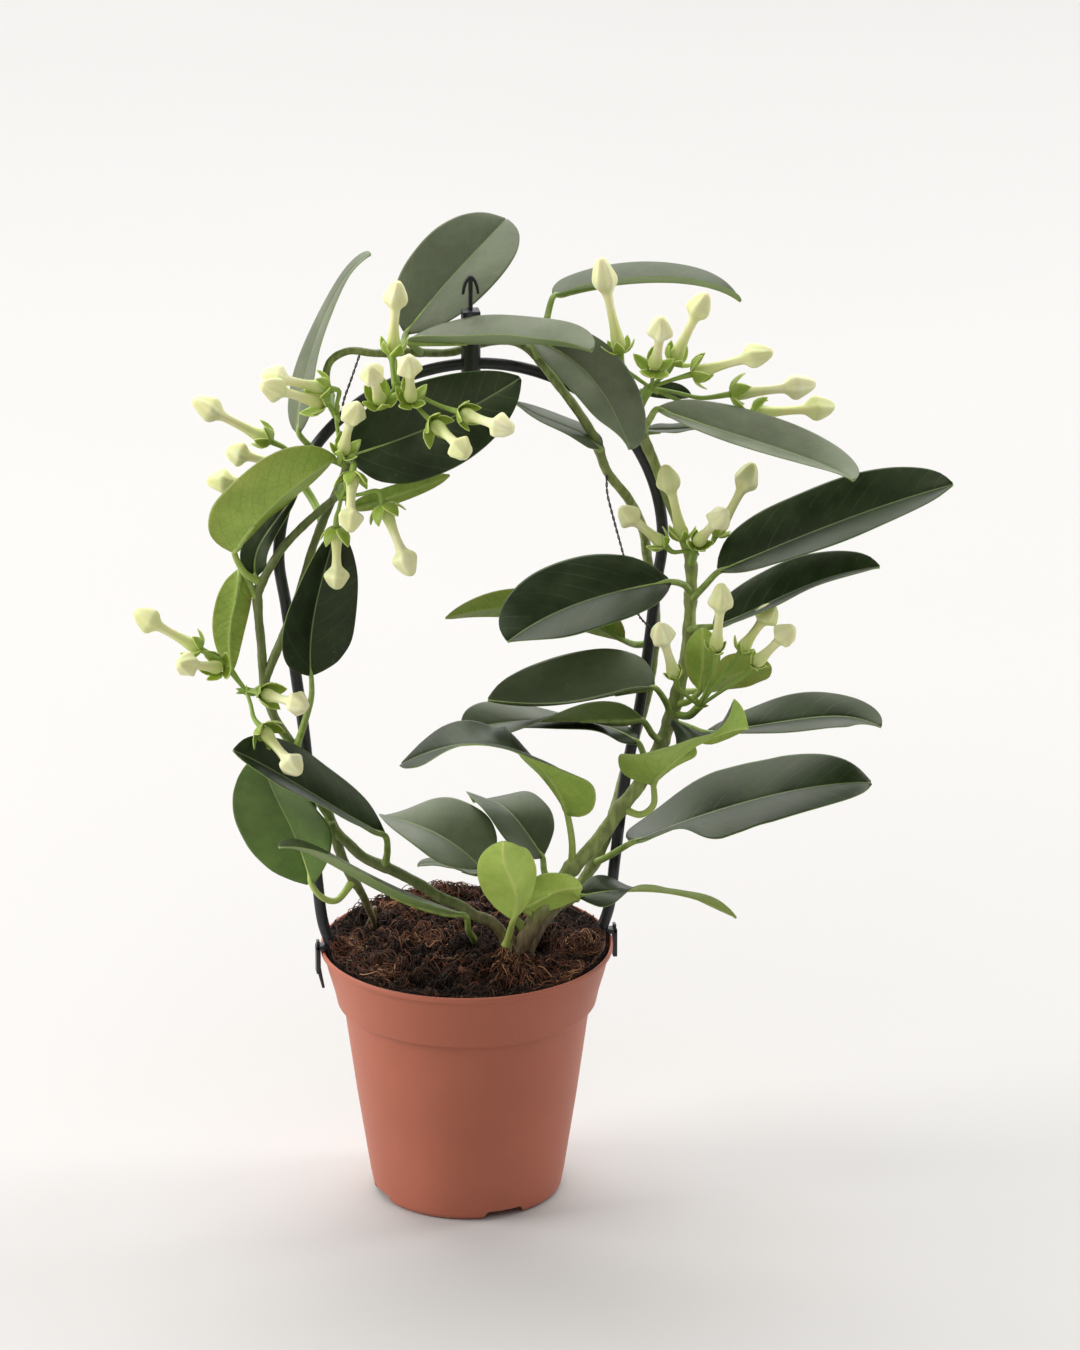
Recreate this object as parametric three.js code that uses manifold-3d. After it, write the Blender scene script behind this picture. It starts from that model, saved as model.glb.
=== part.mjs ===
// Potted Madagascar jasmine: a vine with white buds trained round a black plastic hoop in a nursery pot.
// Millimetres, +Z up. The origin is the middle of the pot's base, and the hoop lies in the XZ plane.
import * as THREE from "three";
import Module from "manifold-3d";
import { mergeVertices } from "three/addons/utils/BufferGeometryUtils.js";

const wasm = await Module();
wasm.setup();

// The pot: rim 120 across, a tapered band below the rim and a tapered body.
const RIM_R = 60;
const POT_H = 108;
const LIP_H = 2.4;
const BAND_FOOT_Z = 83.5;
const BAND_FOOT_R = 53.4;
const BAND_TOP_R = 58.8;
const BODY_TOP_R = 50.9;
const BASE_R = 39.2;
const FOOT_ROUND = 3.4;
const WALL = 1.3;
const FLOOR_Z = 5;
const CHANNEL_H = 3;
const CHANNEL_R = [14, 32];
const POT_SIDES = 32;
const DRAIN_HOLES = 6;
const DRAIN_R = 4.2;
const NOTCH_W = 15;
const NOTCH_FROM = -75;
const NOTCHES = 4;

// The hoop: a bar bent to a round arch, with legs that follow the inside of the pot.
const ARCH_X = 2.6;
const ARCH_Z = 279;
const ARCH_R = 78;
const BAR = [2.35, 2.0];
const SOCKET_R = 3.9;
const SOCKET_Z = [352, 376];
const SPIKE_TOP = 389;

const GAP = 0.32;
const VIEW_TURN = THREE.MathUtils.degToRad(-8);

const FINISH = {
  pot: { color: 0xb9765f, roughness: 0.55, metalness: 0 },
  soil: { color: 0x3a241a, roughness: 0.95, metalness: 0 },
  hoop: { color: 0x1b1d22, roughness: 0.45, metalness: 0 },
  stem: { color: 0x5f7336, roughness: 0.6, metalness: 0 },
  leaf: { color: 0x35502f, roughness: 0.4, metalness: 0 },
  bud: { color: 0xe9e6b9, roughness: 0.5, metalness: 0 },
  wire: { color: 0x2b2a26, roughness: 0.5, metalness: 0 },
};

// The plant's tables are written as seen from the front: across to the right, up, and near to the viewer.
function at([across, up, near]) {
  const c = Math.cos(VIEW_TURN);
  const s = Math.sin(VIEW_TURN);
  return new THREE.Vector3(across * c + near * s, across * s - near * c, up);
}

// Stems, from the soil upwards.
const STEMS = {
  stem_right: {
    runs: [
      {
        radius: [3.4, 1.9],
        path: [
          [18, 98, 12], [22, 116, 12], [27, 127, 13], [36, 137, 12], [43, 145, 11], [50, 152, 10],
          [57, 161, 9], [63, 170, 8], [71, 181, 8], [78, 194, 6], [83, 207, 4], [87, 222, 1],
          [90, 238, -1], [91, 254, -4], [91, 271, -6], [87, 284, -7], [81, 300, -6], [76, 314, -4],
          [72, 324, -3], [69, 336, -2],
        ],
      },
    ],
  },
  stem_long: {
    runs: [
      {
        radius: [2.5, 1.5],
        path: [
          [33, 96, 1], [37, 116, 1], [43, 128, 0], [50, 137, -4], [56, 147, -9], [62, 163, -17],
          [68, 186, -21], [74, 207, -23], [77, 229, -24], [77, 250, -24], [74, 267, -22],
          [72, 281, -18], [66, 296, -11], [57, 311, -2], [52, 327, 5], [44, 341, 7], [35, 353, 6],
          [27, 362, 0], [18, 364, -8], [7, 362, -11], [-5, 359, -9], [-16, 361, -2], [-25, 364, 6],
          [-35, 364, 8], [-46, 365, 8], [-53, 361, 8], [-55, 354, 8], [-53, 346, 9],
        ],
      },
    ],
  },
  stem_left: {
    runs: [
      {
        radius: [2.8, 1.7],
        path: [
          [3, 101, 14], [3, 115, 14], [1, 126, 14], [-3, 131, 14], [-11, 134, 15], [-18, 139, 15],
          [-29, 145, 14], [-42, 151, 13], [-48, 157, 13], [-53, 162, 12], [-56, 169, 11],
          [-61, 179, 15], [-66, 194, 16],
          [-71, 203, 17], [-77, 213, 17], [-81, 229, 17], [-82, 245, 17], [-83, 258, 17],
          [-83, 267, 17], [-80, 274, 18], [-73, 286, 19], [-64, 296, 19], [-52, 307, 19],
          [-44, 315, 19],
        ],
      },
      {
        radius: [2.4, 2.0],
        path: [[-35, 98, 3], [-39, 120, 4], [-44, 134, 5], [-48, 142, 7], [-52, 154, 10], [-55, 166, 13]],
      },
      {
        radius: [1.9, 1.5],
        path: [
          [-81, 229, 17], [-75, 244, 18], [-70, 256, 17], [-66, 267, 14], [-61, 283, 9], [-55, 298, 8],
          [-49, 312, 9], [-45, 324, 11],
        ],
      },
    ],
  },
};

// Leaves. The stalk runs from the stem to the blade, bend and tip shape the midrib, face lists the way the
// upper side looks from the stalk's end to the tip, and fold raises the two halves.
const LEAVES = {
  leaf_top_back: {
    stem: "stem_long", stalk: [[-25, 364, 6], [-24, 366, 0], [-23, 368, -6]],
    bend: [[-10, 384, -16], [7, 399, -23]], tip: [17, 405, -40], width: 39,
    face: [[-0.42, 0.64, 0.65], [-0.18, 0.53, 0.83]], fold: 0.33,
  },
  leaf_top_bar: {
    stem: "stem_long", stalk: [[-18, 362, 0], [-20, 366, 6], [-22, 370, 11]],
    bend: [[1, 372, 22], [36, 374, 19]], tip: [50, 373, 35], width: 34,
    face: [[0.08, 1, -0.04], [0.06, 1, 0.02]], fold: 0.52,
  },
  leaf_top_arch: {
    stem: "stem_long", stalk: [[28, 361, 0], [32, 370, -6], [36, 381, -14]],
    bend: [[53, 382, -28], [94, 389, -25]], tip: [111, 374, -28], width: 28,
    face: [[-0.21, 0.98, -0.02], [-0.1, 0.99, -0.05]], fold: 0.46,
  },
  leaf_top_droop: {
    stem: "stem_long", stalk: [[30, 359, 2], [27, 369, 8]],
    bend: [[51, 364, 12], [61, 339, 13]], tip: [65, 332, 33], width: 30,
    face: [[0.43, 0.62, 0.65], [0.6, 0.25, 0.76]], fold: 0.39,
  },
  leaf_right_high: {
    stem: "stem_right", stalk: [[71, 327, -3], [74, 335, 4], [77, 341, 10]],
    bend: [[107, 330, 11], [145, 319, 9]], tip: [154, 317, 29], width: 30,
    face: [[0.09, 0.95, 0.3], [0.32, 0.93, 0.21]], fold: 0.42,
  },
  leaf_right_long: {
    stem: "stem_right", stalk: [[91, 255, -4], [96, 263, 2], [102, 271, 6]],
    bend: [[125, 279, -2], [167, 297, -2]], tip: [195, 309, 11], width: 38,
    face: [[-0.17, 0.93, 0.34], [-0.09, 0.83, 0.55]], fold: 0.46,
  },
  leaf_right_mid: {
    stem: "stem_right", stalk: [[90, 243, -2], [94, 247, 6], [100, 250, 13]],
    bend: [[122, 256, 7], [140, 271, 9]], tip: [166, 276, 16], width: 32,
    face: [[-0.14, 0.97, 0.18], [0.02, 0.97, 0.24]], fold: 0.5,
  },
  leaf_inner_dark: {
    stem: "stem_right", stalk: [[91, 258, -5], [88, 264, 2], [82, 267, 7]],
    bend: [[50, 267, 20], [30, 259, 25]], tip: [17, 254, 41], width: 42,
    face: [[-0.29, 0.78, 0.55], [-0.35, 0.73, 0.58]], fold: 0.35,
  },
  leaf_inner_behind: {
    stem: "stem_long", stalk: [[77, 230, -24], [70, 230, -21], [64, 235, -13]],
    bend: [[45, 253, -6], [15, 257, -3]], tip: [-8, 253, 10], width: 25,
    face: [[0.12, 0.55, -0.82], [0.11, 0.63, -0.77]], fold: 0.27,
  },
  leaf_inner_third: {
    stem: "stem_right", stalk: [[83, 208, 4], [81, 216, 9], [76, 224, 13]],
    bend: [[61, 222, 8], [37, 212, 13]], tip: [9, 221, 19], width: 49,
    face: [[0.03, 0.99, 0.11], [-0.05, 0.99, 0.13]], fold: 0.57,
  },
  leaf_inner_folded: {
    stem: "stem_right", stalk: [[80, 198, 5], [76, 202, 10], [71, 210, 13]],
    bend: [[43, 211, 14], [14, 212, 15]], tip: [-1, 211, 28], width: 34,
    face: [[0, 0.62, -0.79], [0, 0.89, 0.45]], fold: 0.31,
  },
  leaf_inner_under: {
    stem: "stem_right", stalk: [[78, 191, 6], [74, 189, 5], [70, 196, 2]],
    bend: [[52, 208, -6], [30, 205, 6]], tip: [5, 206, 7], width: 25,
    face: [[-0.3, 0.95, -0.01], [-0.24, 0.96, -0.12]], fold: 0.1,
  },
  leaf_low_overturned: {
    stem: "stem_right", stalk: [[43, 145, 11], [43, 157, 12], [41, 170, 14]],
    bend: [[37, 208, 51], [11, 231, 64]], tip: [-26, 197, 28], width: 44,
    face: [[0.56, -0.13, -0.82], [0.39, 0.87, -0.28], [-0.59, 0.31, -0.75]], fold: 0.27,
  },
  leaf_low_twisted: {
    stem: "stem_right", stalk: [[63, 170, 8], [71, 169, 13], [76, 174, 15], [76, 182, 13]],
    bend: [[75, 199, 43], [96, 216, 39]], tip: [114, 205, 10], width: 44,
    face: [[-0.23, 0.32, -0.92], [-0.07, 0.99, -0.15], [-0.84, 0.45, -0.31]], fold: 0.49,
  },
  leaf_right_low_back: {
    stem: "stem_right", stalk: [[83, 206, 4], [90, 201, -3], [98, 196, -9]],
    bend: [[139, 204, -2], [153, 202, -23]], tip: [169, 199, -7], width: 28,
    face: [[0.26, 0.96, 0.12], [0.3, 0.92, 0.26]], fold: 0.36,
  },
  leaf_right_low: {
    stem: "stem_long", stalk: [[52, 140, -6], [59, 147, 2], [68, 155, 8]],
    bend: [[93, 152, -29], [138, 182, 8]], tip: [165, 178, 2], width: 43,
    face: [[-0.14, 0.97, -0.21], [-0.01, 0.94, 0.35], [0.14, 0.92, 0.36]], fold: 0.25,
  },
  leaf_soil_right: {
    stem: "stem_long", stalk: [[43, 128, 0], [45, 130, 8], [46, 134, 15]],
    bend: [[64, 137, 11], [90, 137, 9]], tip: [110, 126, 19], width: 26,
    face: [[-0.22, 0.87, 0.43], [-0.22, 0.96, -0.16], [-0.3, 0.93, -0.2]], fold: 0.19,
  },
  leaf_soil_round: {
    stem: "stem_right", stalk: [[22, 117, 12], [20, 122, 20], [19, 129, 27]],
    bend: [[23, 149, 33], [13, 154, 43]], tip: [15, 171, 47], width: 27,
    face: [[-0.39, 0.23, -0.89], [-0.21, 0.25, -0.95]], fold: 0.47,
  },
  leaf_soil_small: {
    stem: "stem_right", stalk: [[26, 126, 13], [23, 130, 17]],
    bend: [[39, 138, 14], [37, 142, 27]], tip: [47, 143, 27], width: 20,
    face: [[-0.04, 0.2, -0.98], [-0.07, 0.23, -0.97]], fold: 0.26,
  },
  leaf_low_left: {
    stem: "stem_right", stalk: [[23, 119, 12], [12, 138, 21], [6, 152, 29]],
    bend: [[-3, 160, 21], [-16, 168, 20]], tip: [-34, 166, 6], width: 43,
    face: [[0.47, 0.71, 0.53], [0.74, 0.56, 0.38]], fold: 0.37,
  },
  leaf_low_upright: {
    stem: "stem_right", stalk: [[36, 137, 12], [32, 142, 9], [31, 148, 6]],
    bend: [[22, 163, 5], [14, 172, -5]], tip: [3, 164, -15], width: 35,
    face: [[0.59, 0.6, 0.55], [0.68, 0.62, 0.4]], fold: 0.32,
  },
  leaf_low_sliver: {
    stem: "stem_right", stalk: [[28, 128, 13], [18, 132, 4], [6, 136, -6]],
    bend: [[-3, 136, -8], [-9, 143, -6]], tip: [-20, 141, -2], width: 15,
    face: [[-0.01, 0.99, -0.15], [0, 1, -0.04]], fold: 0.21,
  },
  leaf_left_edge_on: {
    stem: "stem_left", stalk: [[3, 116, 14], [0, 122, 21], [-1, 131, 27]],
    bend: [[-38, 138, 33], [-59, 168, 37]], tip: [-75, 170, 50], width: 23,
    face: [[0.07, 0.97, -0.25], [0.06, 1, -0.04]], fold: 0.37,
  },
  leaf_left_low: {
    stem: "stem_left", stalk: [[-33, 148, 14], [-32, 157, 20], [-33, 165, 25]],
    bend: [[-58, 182, 31], [-77, 201, 41]], tip: [-93, 210, 46], width: 34,
    face: [[0.08, 0.98, 0.19], [0.09, 0.87, 0.49]], fold: 0.48,
  },
  leaf_left_bright: {
    stem: "stem_left", stalk: [[-46, 138, 6], [-53, 132, 13], [-59, 136, 19], [-63, 143, 22]],
    bend: [[-71, 170, 12], [-75, 172, 22]], tip: [-83, 203, 32], width: 43,
    face: [[-0.5, 0.28, 0.82], [-0.37, 0.25, 0.89]], fold: 0.35,
  },
  leaf_left_upright: {
    stem: "stem_left", stalk: [[-69, 199, 17], [-65, 212, 20], [-62, 224, 22], [-62, 234, 24]],
    bend: [[-64, 253, 15], [-65, 256, 35]], tip: [-51, 299, 28], width: 35,
    face: [[0.25, 0.23, 0.94], [0.53, 0.04, 0.84]], fold: 0.53,
  },
  leaf_left_hanging: {
    stem: "stem_left", stalk: [[-83, 263, 17], [-87, 272, 18], [-90, 277, 18]],
    bend: [[-91, 261, 21], [-97, 255, 15]], tip: [-94, 232, 15], width: 16,
    face: [[-0.15, 0.15, -0.98], [-0.24, 0.15, -0.96]], fold: 0.42,
  },
  leaf_left_face: {
    stem: "stem_left", stalk: [[-82, 271, 17], [-88, 276, 20], [-92, 286, 23]],
    bend: [[-85, 303, 35], [-71, 319, 41]], tip: [-51, 327, 28], width: 41,
    face: [[-0.42, 0.58, -0.7], [-0.43, 0.43, -0.8]], fold: 0.51,
  },
  leaf_left_small: {
    stem: "stem_left", stalk: [[-82, 268, 17], [-84, 272, 13]],
    bend: [[-86, 284, 11], [-79, 291, 17]], tip: [-66, 310, 15], width: 15,
    face: [[-0.14, 0.7, 0.7], [-0.28, 0.82, 0.5]], fold: 0.39,
  },
  leaf_left_narrow: {
    stem: "stem_left", stalk: [[-47, 318, 10], [-58, 324, 13], [-66, 333, 14]],
    bend: [[-67, 352, 4], [-52, 396, 1]], tip: [-37, 406, 12], width: 27,
    face: [[-0.64, 0.75, 0.16], [-0.57, 0.82, 0.03]], fold: 0.13,
  },
  leaf_centre_dark: {
    stem: "stem_left", stalk: [[-46, 321, 11], [-46, 324, 17]],
    bend: [[-22, 332, 17], [-5, 341, 26]], tip: [22, 360, 28], width: 41,
    face: [[0.14, 0.39, 0.91], [0.19, 0.34, 0.92]], fold: 0.42,
  },
  leaf_centre_sliver: {
    stem: "stem_left", stalk: [[-46, 313, 19], [-46, 302, 18]],
    bend: [[-34, 307, 21], [-20, 312, 23]], tip: [-6, 318, 23], width: 9,
    face: [[-0.01, 0.21, -0.98], [-0.02, 0.24, -0.97]], fold: 0.26,
  },
  leaf_centre_right: {
    stem: "stem_long", stalk: [[54, 322, 3], [54, 324, 9]],
    bend: [[47, 332, 5], [32, 334, 7]], tip: [20, 344, 10], width: 26,
    face: [[-0.02, 0.99, -0.14], [0.04, 1, -0.04]], fold: 0.53,
  },
  leaf_tiny_right: {
    stem: "stem_right", stalk: [[69, 333, -2], [71, 343, -8]],
    bend: [[78, 342, -10], [85, 342, -12]], tip: [91, 339, -13], width: 8,
    face: [[0, 0.69, 0.72], [0, 0.69, 0.72]], fold: 0.29,
  },
  leaf_thin_right: {
    stem: "stem_right", stalk: [[73, 321, -4], [72, 326, -8]],
    bend: [[79, 326, -9], [87, 326, -8]], tip: [94, 328, -6], width: 10,
    face: [[0, 1, 0.07], [0, 0.99, 0.11]], fold: 0.29,
  },
  leaf_right_round: {
    stem: "stem_right", stalk: [[85, 213, 3], [90, 216, 8], [95, 222, 11]],
    bend: [[96, 236, 13], [95, 242, 23]], tip: [95, 254, 25], width: 15,
    face: [[-0.05, 0.3, -0.95], [0.01, 0.29, -0.96]], fold: 0.29,
  },
  leaf_right_light: {
    stem: "stem_right", stalk: [[86, 218, 2], [92, 216, -4], [97, 216, -6]],
    bend: [[107, 220, -13], [116, 224, -11]], tip: [124, 226, -6], width: 21,
    face: [[0.15, 0.65, -0.74], [0.22, 0.35, -0.91]], fold: 0.22,
  },
};

// Clusters of buds. Each bud is written as its calyx and its tip.
const SPRAYS = {
  spray_top_left: {
    stem: "stem_long", stalk: [[-30, 364, 7], [-28, 364, 20], [-27, 358, 31]],
    buds: [
      [[-28, 371, 30], [-26, 401, 31]], [[-21, 355, 40], [-22, 378, 57]], [[-33, 353, 37], [-37, 373, 53]],
      [[-12, 347, 46], [1, 341, 68]], [[-1, 352, 48], [19, 351, 66]],
    ],
  },
  spray_far_left: {
    stem: "stem_long", stalk: [[-53, 347, 9], [-53, 346, 17], [-51, 344, 24]],
    buds: [
      [[-54, 356, 28], [-80, 363, 31]], [[-56, 350, 29], [-80, 362, 42]],
      [[-48, 331, 34], [-42, 356, 47]],
    ],
  },
  spray_left_hanging: {
    stem: "stem_left", stalk: [[-45, 314, 19], [-49, 314, 27], [-49, 312, 33]],
    buds: [
      [[-44, 324, 40], [-45, 306, 57]], [[-51, 300, 36], [-51, 275, 37]],
      [[-32, 310, 37], [-21, 283, 44]],
    ],
  },
  spray_left_back: {
    stem: "stem_left", stalk: [[-57, 292, 9], [-60, 297, -2], [-66, 305, -9]],
    buds: [
      [[-78, 323, -6], [-109, 340, -8]], [[-72, 311, -8], [-96, 318, -10]],
      [[-76, 305, -10], [-104, 304, -12]],
    ],
  },
  spray_low_left: {
    stem: "stem_left", stalk: [[-81, 227, 17], [-85, 226, 22], [-88, 228, 26]],
    buds: [
      [[-106, 249, 34], [-132, 265, 34]], [[-98, 241, 34], [-114, 250, 54]],
      [[-81, 230, 35], [-63, 231, 52]], [[-81, 216, 38], [-66, 203, 54]],
    ],
  },
  spray_top_right: {
    stem: "stem_right", stalk: [[69, 334, -2], [71, 342, 3], [74, 349, 7]],
    buds: [
      [[62, 363, 4], [54, 401, 0]], [[75, 361, 18], [77, 387, 36]], [[83, 361, 10], [96, 390, 12]],
      [[91, 357, 14], [122, 368, 20]], [[97, 350, 0], [126, 354, -8]], [[90, 345, -3], [120, 342, -14]],
    ],
  },
  spray_right: {
    stem: "stem_right", stalk: [[91, 269, -6], [92, 275, -1], [92, 279, 3]],
    buds: [
      [[87, 284, 3], [80, 315, 2]], [[101, 284, -2], [116, 313, -6]],
      [[93, 284, 9], [104, 303, 25]], [[80, 282, 5], [62, 298, 5]],
    ],
  },
  spray_low_right: {
    stem: "stem_right", stalk: [[85, 209, 4], [90, 213, 16], [94, 220, 24]],
    buds: [
      [[100, 246, 32], [103, 276, 40]], [[84, 233, 30], [77, 258, 39]],
      [[112, 237, 18], [127, 257, 20]], [[116, 233, 28], [134, 250, 36]],
    ],
  },
};

// Thin dark wires, each from the middle of the long stem to the middle of the hoop's bar.
const WIRE_R = 0.55;
const WIRES = {
  tie_right: [
    [57, 311, -2], [57, 304, 3], [60, 291, 3], [64, 275, 1], [67, 260, 1], [70, 250, -1], [76, 240, -11],
  ],
  tie_left: [[-41, 365, 8], [-45, 354, 11], [-48, 345, 10], [-49, 338, 7]],
  tie_top: [[27, 362, 0], [34, 354, 3], [39, 349, -1], [43, 346, -6]],
};

function solidFrom(geometry) {
  const bare = new THREE.BufferGeometry().setAttribute("position", geometry.getAttribute("position"));
  if (geometry.index) bare.setIndex(geometry.index);
  const merged = mergeVertices(bare, 1e-4);
  return new wasm.Manifold(
    new wasm.Mesh({
      numProp: 3,
      vertProperties: new Float32Array(merged.attributes.position.array),
      triVerts: new Uint32Array(merged.index.array),
    }),
  );
}

function solidOf(points, triangles) {
  const geometry = new THREE.BufferGeometry().setFromPoints(points);
  geometry.setIndex(triangles.flat());
  return solidFrom(geometry);
}

function nodeOf(name, made, finish) {
  const mesh = made.getMesh();
  const stride = mesh.numProp;
  const positions = new Float32Array(mesh.numVert * 3);
  for (let i = 0; i < mesh.numVert; i++) {
    positions.set(mesh.vertProperties.subarray(i * stride, i * stride + 3), i * 3);
  }
  const geometry = new THREE.BufferGeometry();
  geometry.setAttribute("position", new THREE.BufferAttribute(positions, 3));
  geometry.setIndex(new THREE.BufferAttribute(new Uint32Array(mesh.triVerts), 1));
  geometry.computeVertexNormals();
  const node = new THREE.Mesh(geometry, new THREE.MeshStandardMaterial(finish));
  node.name = name;
  return node;
}

function joined(solids) {
  return solids.reduce((sum, next) => sum.add(next));
}

// A cut can free a scrap on the far side of a stem, so only the largest body is kept.
function largest(made) {
  return made.decompose().reduce((best, next) => (next.volume() > best.volume() ? next : best));
}

function revolved(profile, sides) {
  const geometry = new THREE.LatheGeometry(profile.map(([r, z]) => new THREE.Vector2(r, z)), sides);
  return solidFrom(geometry.rotateX(Math.PI / 2));
}

// Joins rings of equally many points, each turning left as seen from ahead, into one closed solid.
function lofted(rings) {
  const sides = rings[0].length;
  const triangles = [];
  for (let i = 0; i < rings.length - 1; i++) {
    for (let k = 0; k < sides; k++) {
      const a = i * sides + k;
      const b = i * sides + ((k + 1) % sides);
      triangles.push([a, b, b + sides], [a, b + sides, a + sides]);
    }
  }
  const last = (rings.length - 1) * sides;
  for (let k = 1; k < sides - 1; k++) {
    triangles.push([0, k + 1, k], [last, last + k, last + k + 1]);
  }
  return solidOf(rings.flat(), triangles);
}

function ringOf(centre, along, hint, radius, sides, flat = 1) {
  const side = hint.clone().addScaledVector(along, -hint.dot(along)).normalize();
  const other = along.clone().cross(side);
  return Array.from({ length: sides }, (_, k) => {
    const turn = (2 * Math.PI * (k + 0.5)) / sides;
    return centre.clone()
      .addScaledVector(side, radius * flat * Math.cos(turn))
      .addScaledVector(other, radius * Math.sin(turn));
  });
}

// A bar along a path, with a radius that may change; each ring takes its turn from the ring before.
function swept(path, radiusAt, sides, flat = 1) {
  let side = new THREE.Vector3(0, 1, 0);
  const rings = path.map((point, i) => {
    const before = path[Math.max(i - 1, 0)];
    const after = path[Math.min(i + 1, path.length - 1)];
    const along = after.clone().sub(before).normalize();
    side = side.clone().addScaledVector(along, -side.dot(along)).normalize();
    return ringOf(point, along, side, radiusAt(i / (path.length - 1)), sides, flat);
  });
  return lofted(rings);
}

function smooth(points, spacing) {
  const curve = new THREE.CatmullRomCurve3(points, false, "centripetal");
  const count = Math.max(2, Math.round(curve.getLength() / spacing));
  return curve.getSpacedPoints(count);
}

function tapered([from, to]) {
  return (t) => from + (to - from) * t;
}

const STEM_SPACING = 14;

function stemSolid(name, extra) {
  const runs = STEMS[name].runs.map(({ path, radius }) =>
    swept(smooth(path.map(at), STEM_SPACING), (t) => tapered(radius)(t) + extra, 6),
  );
  return joined(runs);
}

// Half the width of a blade along its midrib, as shares: rounded at the stalk, broad, then a short point.
const OUTLINE = [
  [0, 0.1], [0.05, 0.42], [0.14, 0.74], [0.3, 0.96], [0.45, 1], [0.6, 0.97], [0.75, 0.84],
  [0.87, 0.62], [0.95, 0.36], [1, 0.06],
];

function outlineAt(t) {
  const next = OUTLINE.findIndex(([s]) => s >= t);
  if (next <= 0) return OUTLINE[0][1];
  const [s0, w0] = OUTLINE[next - 1];
  const [s1, w1] = OUTLINE[next];
  return w0 + ((w1 - w0) * (t - s0)) / (s1 - s0);
}

const BLADE_THICK = 0.9;
const BLADE_CELLS = 4;
const BLADE_STOPS = {
  long: [0, 0.09, 0.28, 0.53, 0.77, 0.93, 1],
  short: [0, 0.16, 0.45, 0.84, 1],
};
const CURL = 0.1;

function facingAt(faces, t) {
  const place = t * (faces.length - 1);
  const from = Math.min(Math.floor(place), faces.length - 2);
  return faces[from].clone().lerp(faces[from + 1], place - from);
}

function bladeSolid({ stalk, bend, tip, width, face, fold }) {
  const curve = new THREE.CubicBezierCurve3(at(stalk[stalk.length - 1]), at(bend[0]), at(bend[1]), at(tip));
  const stops = curve.getLength() > 45 ? BLADE_STOPS.long : BLADE_STOPS.short;
  const faces = face.map(at);
  const points = [];
  const under = [];
  for (const t of stops) {
    const middle = curve.getPoint(t);
    const along = curve.getTangent(t);
    const up = facingAt(faces, t);
    up.addScaledVector(along, -up.dot(along)).normalize();
    const side = up.clone().cross(along);
    const half = Math.max((width / 2) * outlineAt(t), 0.9);
    for (let j = 0; j <= BLADE_CELLS; j++) {
      const k = -1 + (2 * j) / BLADE_CELLS;
      const lift = half * (fold * Math.abs(k) - CURL * k * k);
      const reach = half * k * Math.cos(fold);
      const point = middle.clone().addScaledVector(side, reach).addScaledVector(up, lift);
      points.push(point.clone().addScaledVector(up, BLADE_THICK / 2));
      under.push(point.clone().addScaledVector(up, -BLADE_THICK / 2));
    }
  }
  return sheetSolid(points, under, stops.length - 1, BLADE_CELLS);
}

// Closes two matching grids of points into one sheet, with both faces split the same way.
function sheetSolid(top, under, rows, cells) {
  const offset = top.length;
  const triangles = [];
  const id = (i, j) => i * (cells + 1) + j;
  const wall = (p, q) => triangles.push([q, p, p + offset], [q, p + offset, q + offset]);
  for (let i = 0; i < rows; i++) {
    for (let j = 0; j < cells; j++) {
      const [a, b, c, d] = [id(i, j), id(i + 1, j), id(i + 1, j + 1), id(i, j + 1)];
      triangles.push([a, b, c], [a, c, d]);
      triangles.push([a + offset, c + offset, b + offset], [a + offset, d + offset, c + offset]);
    }
    wall(id(i, 0), id(i + 1, 0));
    wall(id(i + 1, cells), id(i, cells));
  }
  for (let j = 0; j < cells; j++) {
    wall(id(0, j + 1), id(0, j));
    wall(id(rows, j), id(rows, j + 1));
  }
  return solidOf([...top, ...under], triangles);
}

const STALK_R = [1.5, 1.0];

function leafSolid(leaf) {
  const base = leaf.stalk[leaf.stalk.length - 1];
  const inward = base.map((v, i) => v + (leaf.bend[0][i] - v) * 0.22);
  const path = smooth([...leaf.stalk, inward].map(at), 9);
  return bladeSolid(leaf).add(swept(path, tapered(STALK_R), 4));
}

// A bud with its stalk, as rings of five: the stalk, five sepals that stand off as a cup, a swollen foot,
// a narrow tube and a pointed head. Each row is a share of the bud's length and a radius.
const SEPAL_RINGS = [[-0.04, 1.1], [0.13, 4.4], [0.07, 2.4]];
const BUD_RINGS = [[0.12, 2.8], [0.34, 1.9], [0.58, 2.1], [0.73, 4.6], [0.88, 3.6], [1, 0.6]];
const PEDUNCLE_R = [1.6, 2.0];
const PEDICEL_R = 1.0;
const BUD_SIDES = 5;

function budSolid(joint, foot, tip) {
  const along = tip.clone().sub(foot);
  const axis = along.clone().normalize();
  const hint = new THREE.Vector3(0.3, 1, 0.2).cross(axis).normalize();
  const turn = foot.clone().addScaledVector(axis, -foot.distanceTo(joint) * 0.35);
  const start = turn.clone().sub(joint).normalize();
  const middle = start.clone().add(axis).normalize();
  const rings = [
    ringOf(joint, start, hint, PEDICEL_R, BUD_SIDES),
    ringOf(turn, middle, hint, PEDICEL_R, BUD_SIDES),
  ];
  for (const [share, radius] of [...SEPAL_RINGS, ...BUD_RINGS]) {
    rings.push(ringOf(foot.clone().addScaledVector(along, share), axis, hint, radius, BUD_SIDES));
  }
  return lofted(rings);
}

function spraySolid({ stalk, buds }) {
  const joint = at(stalk[stalk.length - 1]);
  const peduncle = swept(smooth(stalk.map(at), 8), tapered(PEDUNCLE_R), 5);
  return joined([peduncle, ...buds.map(([foot, tip]) => budSolid(joint, at(foot), at(tip)))]);
}

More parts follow.
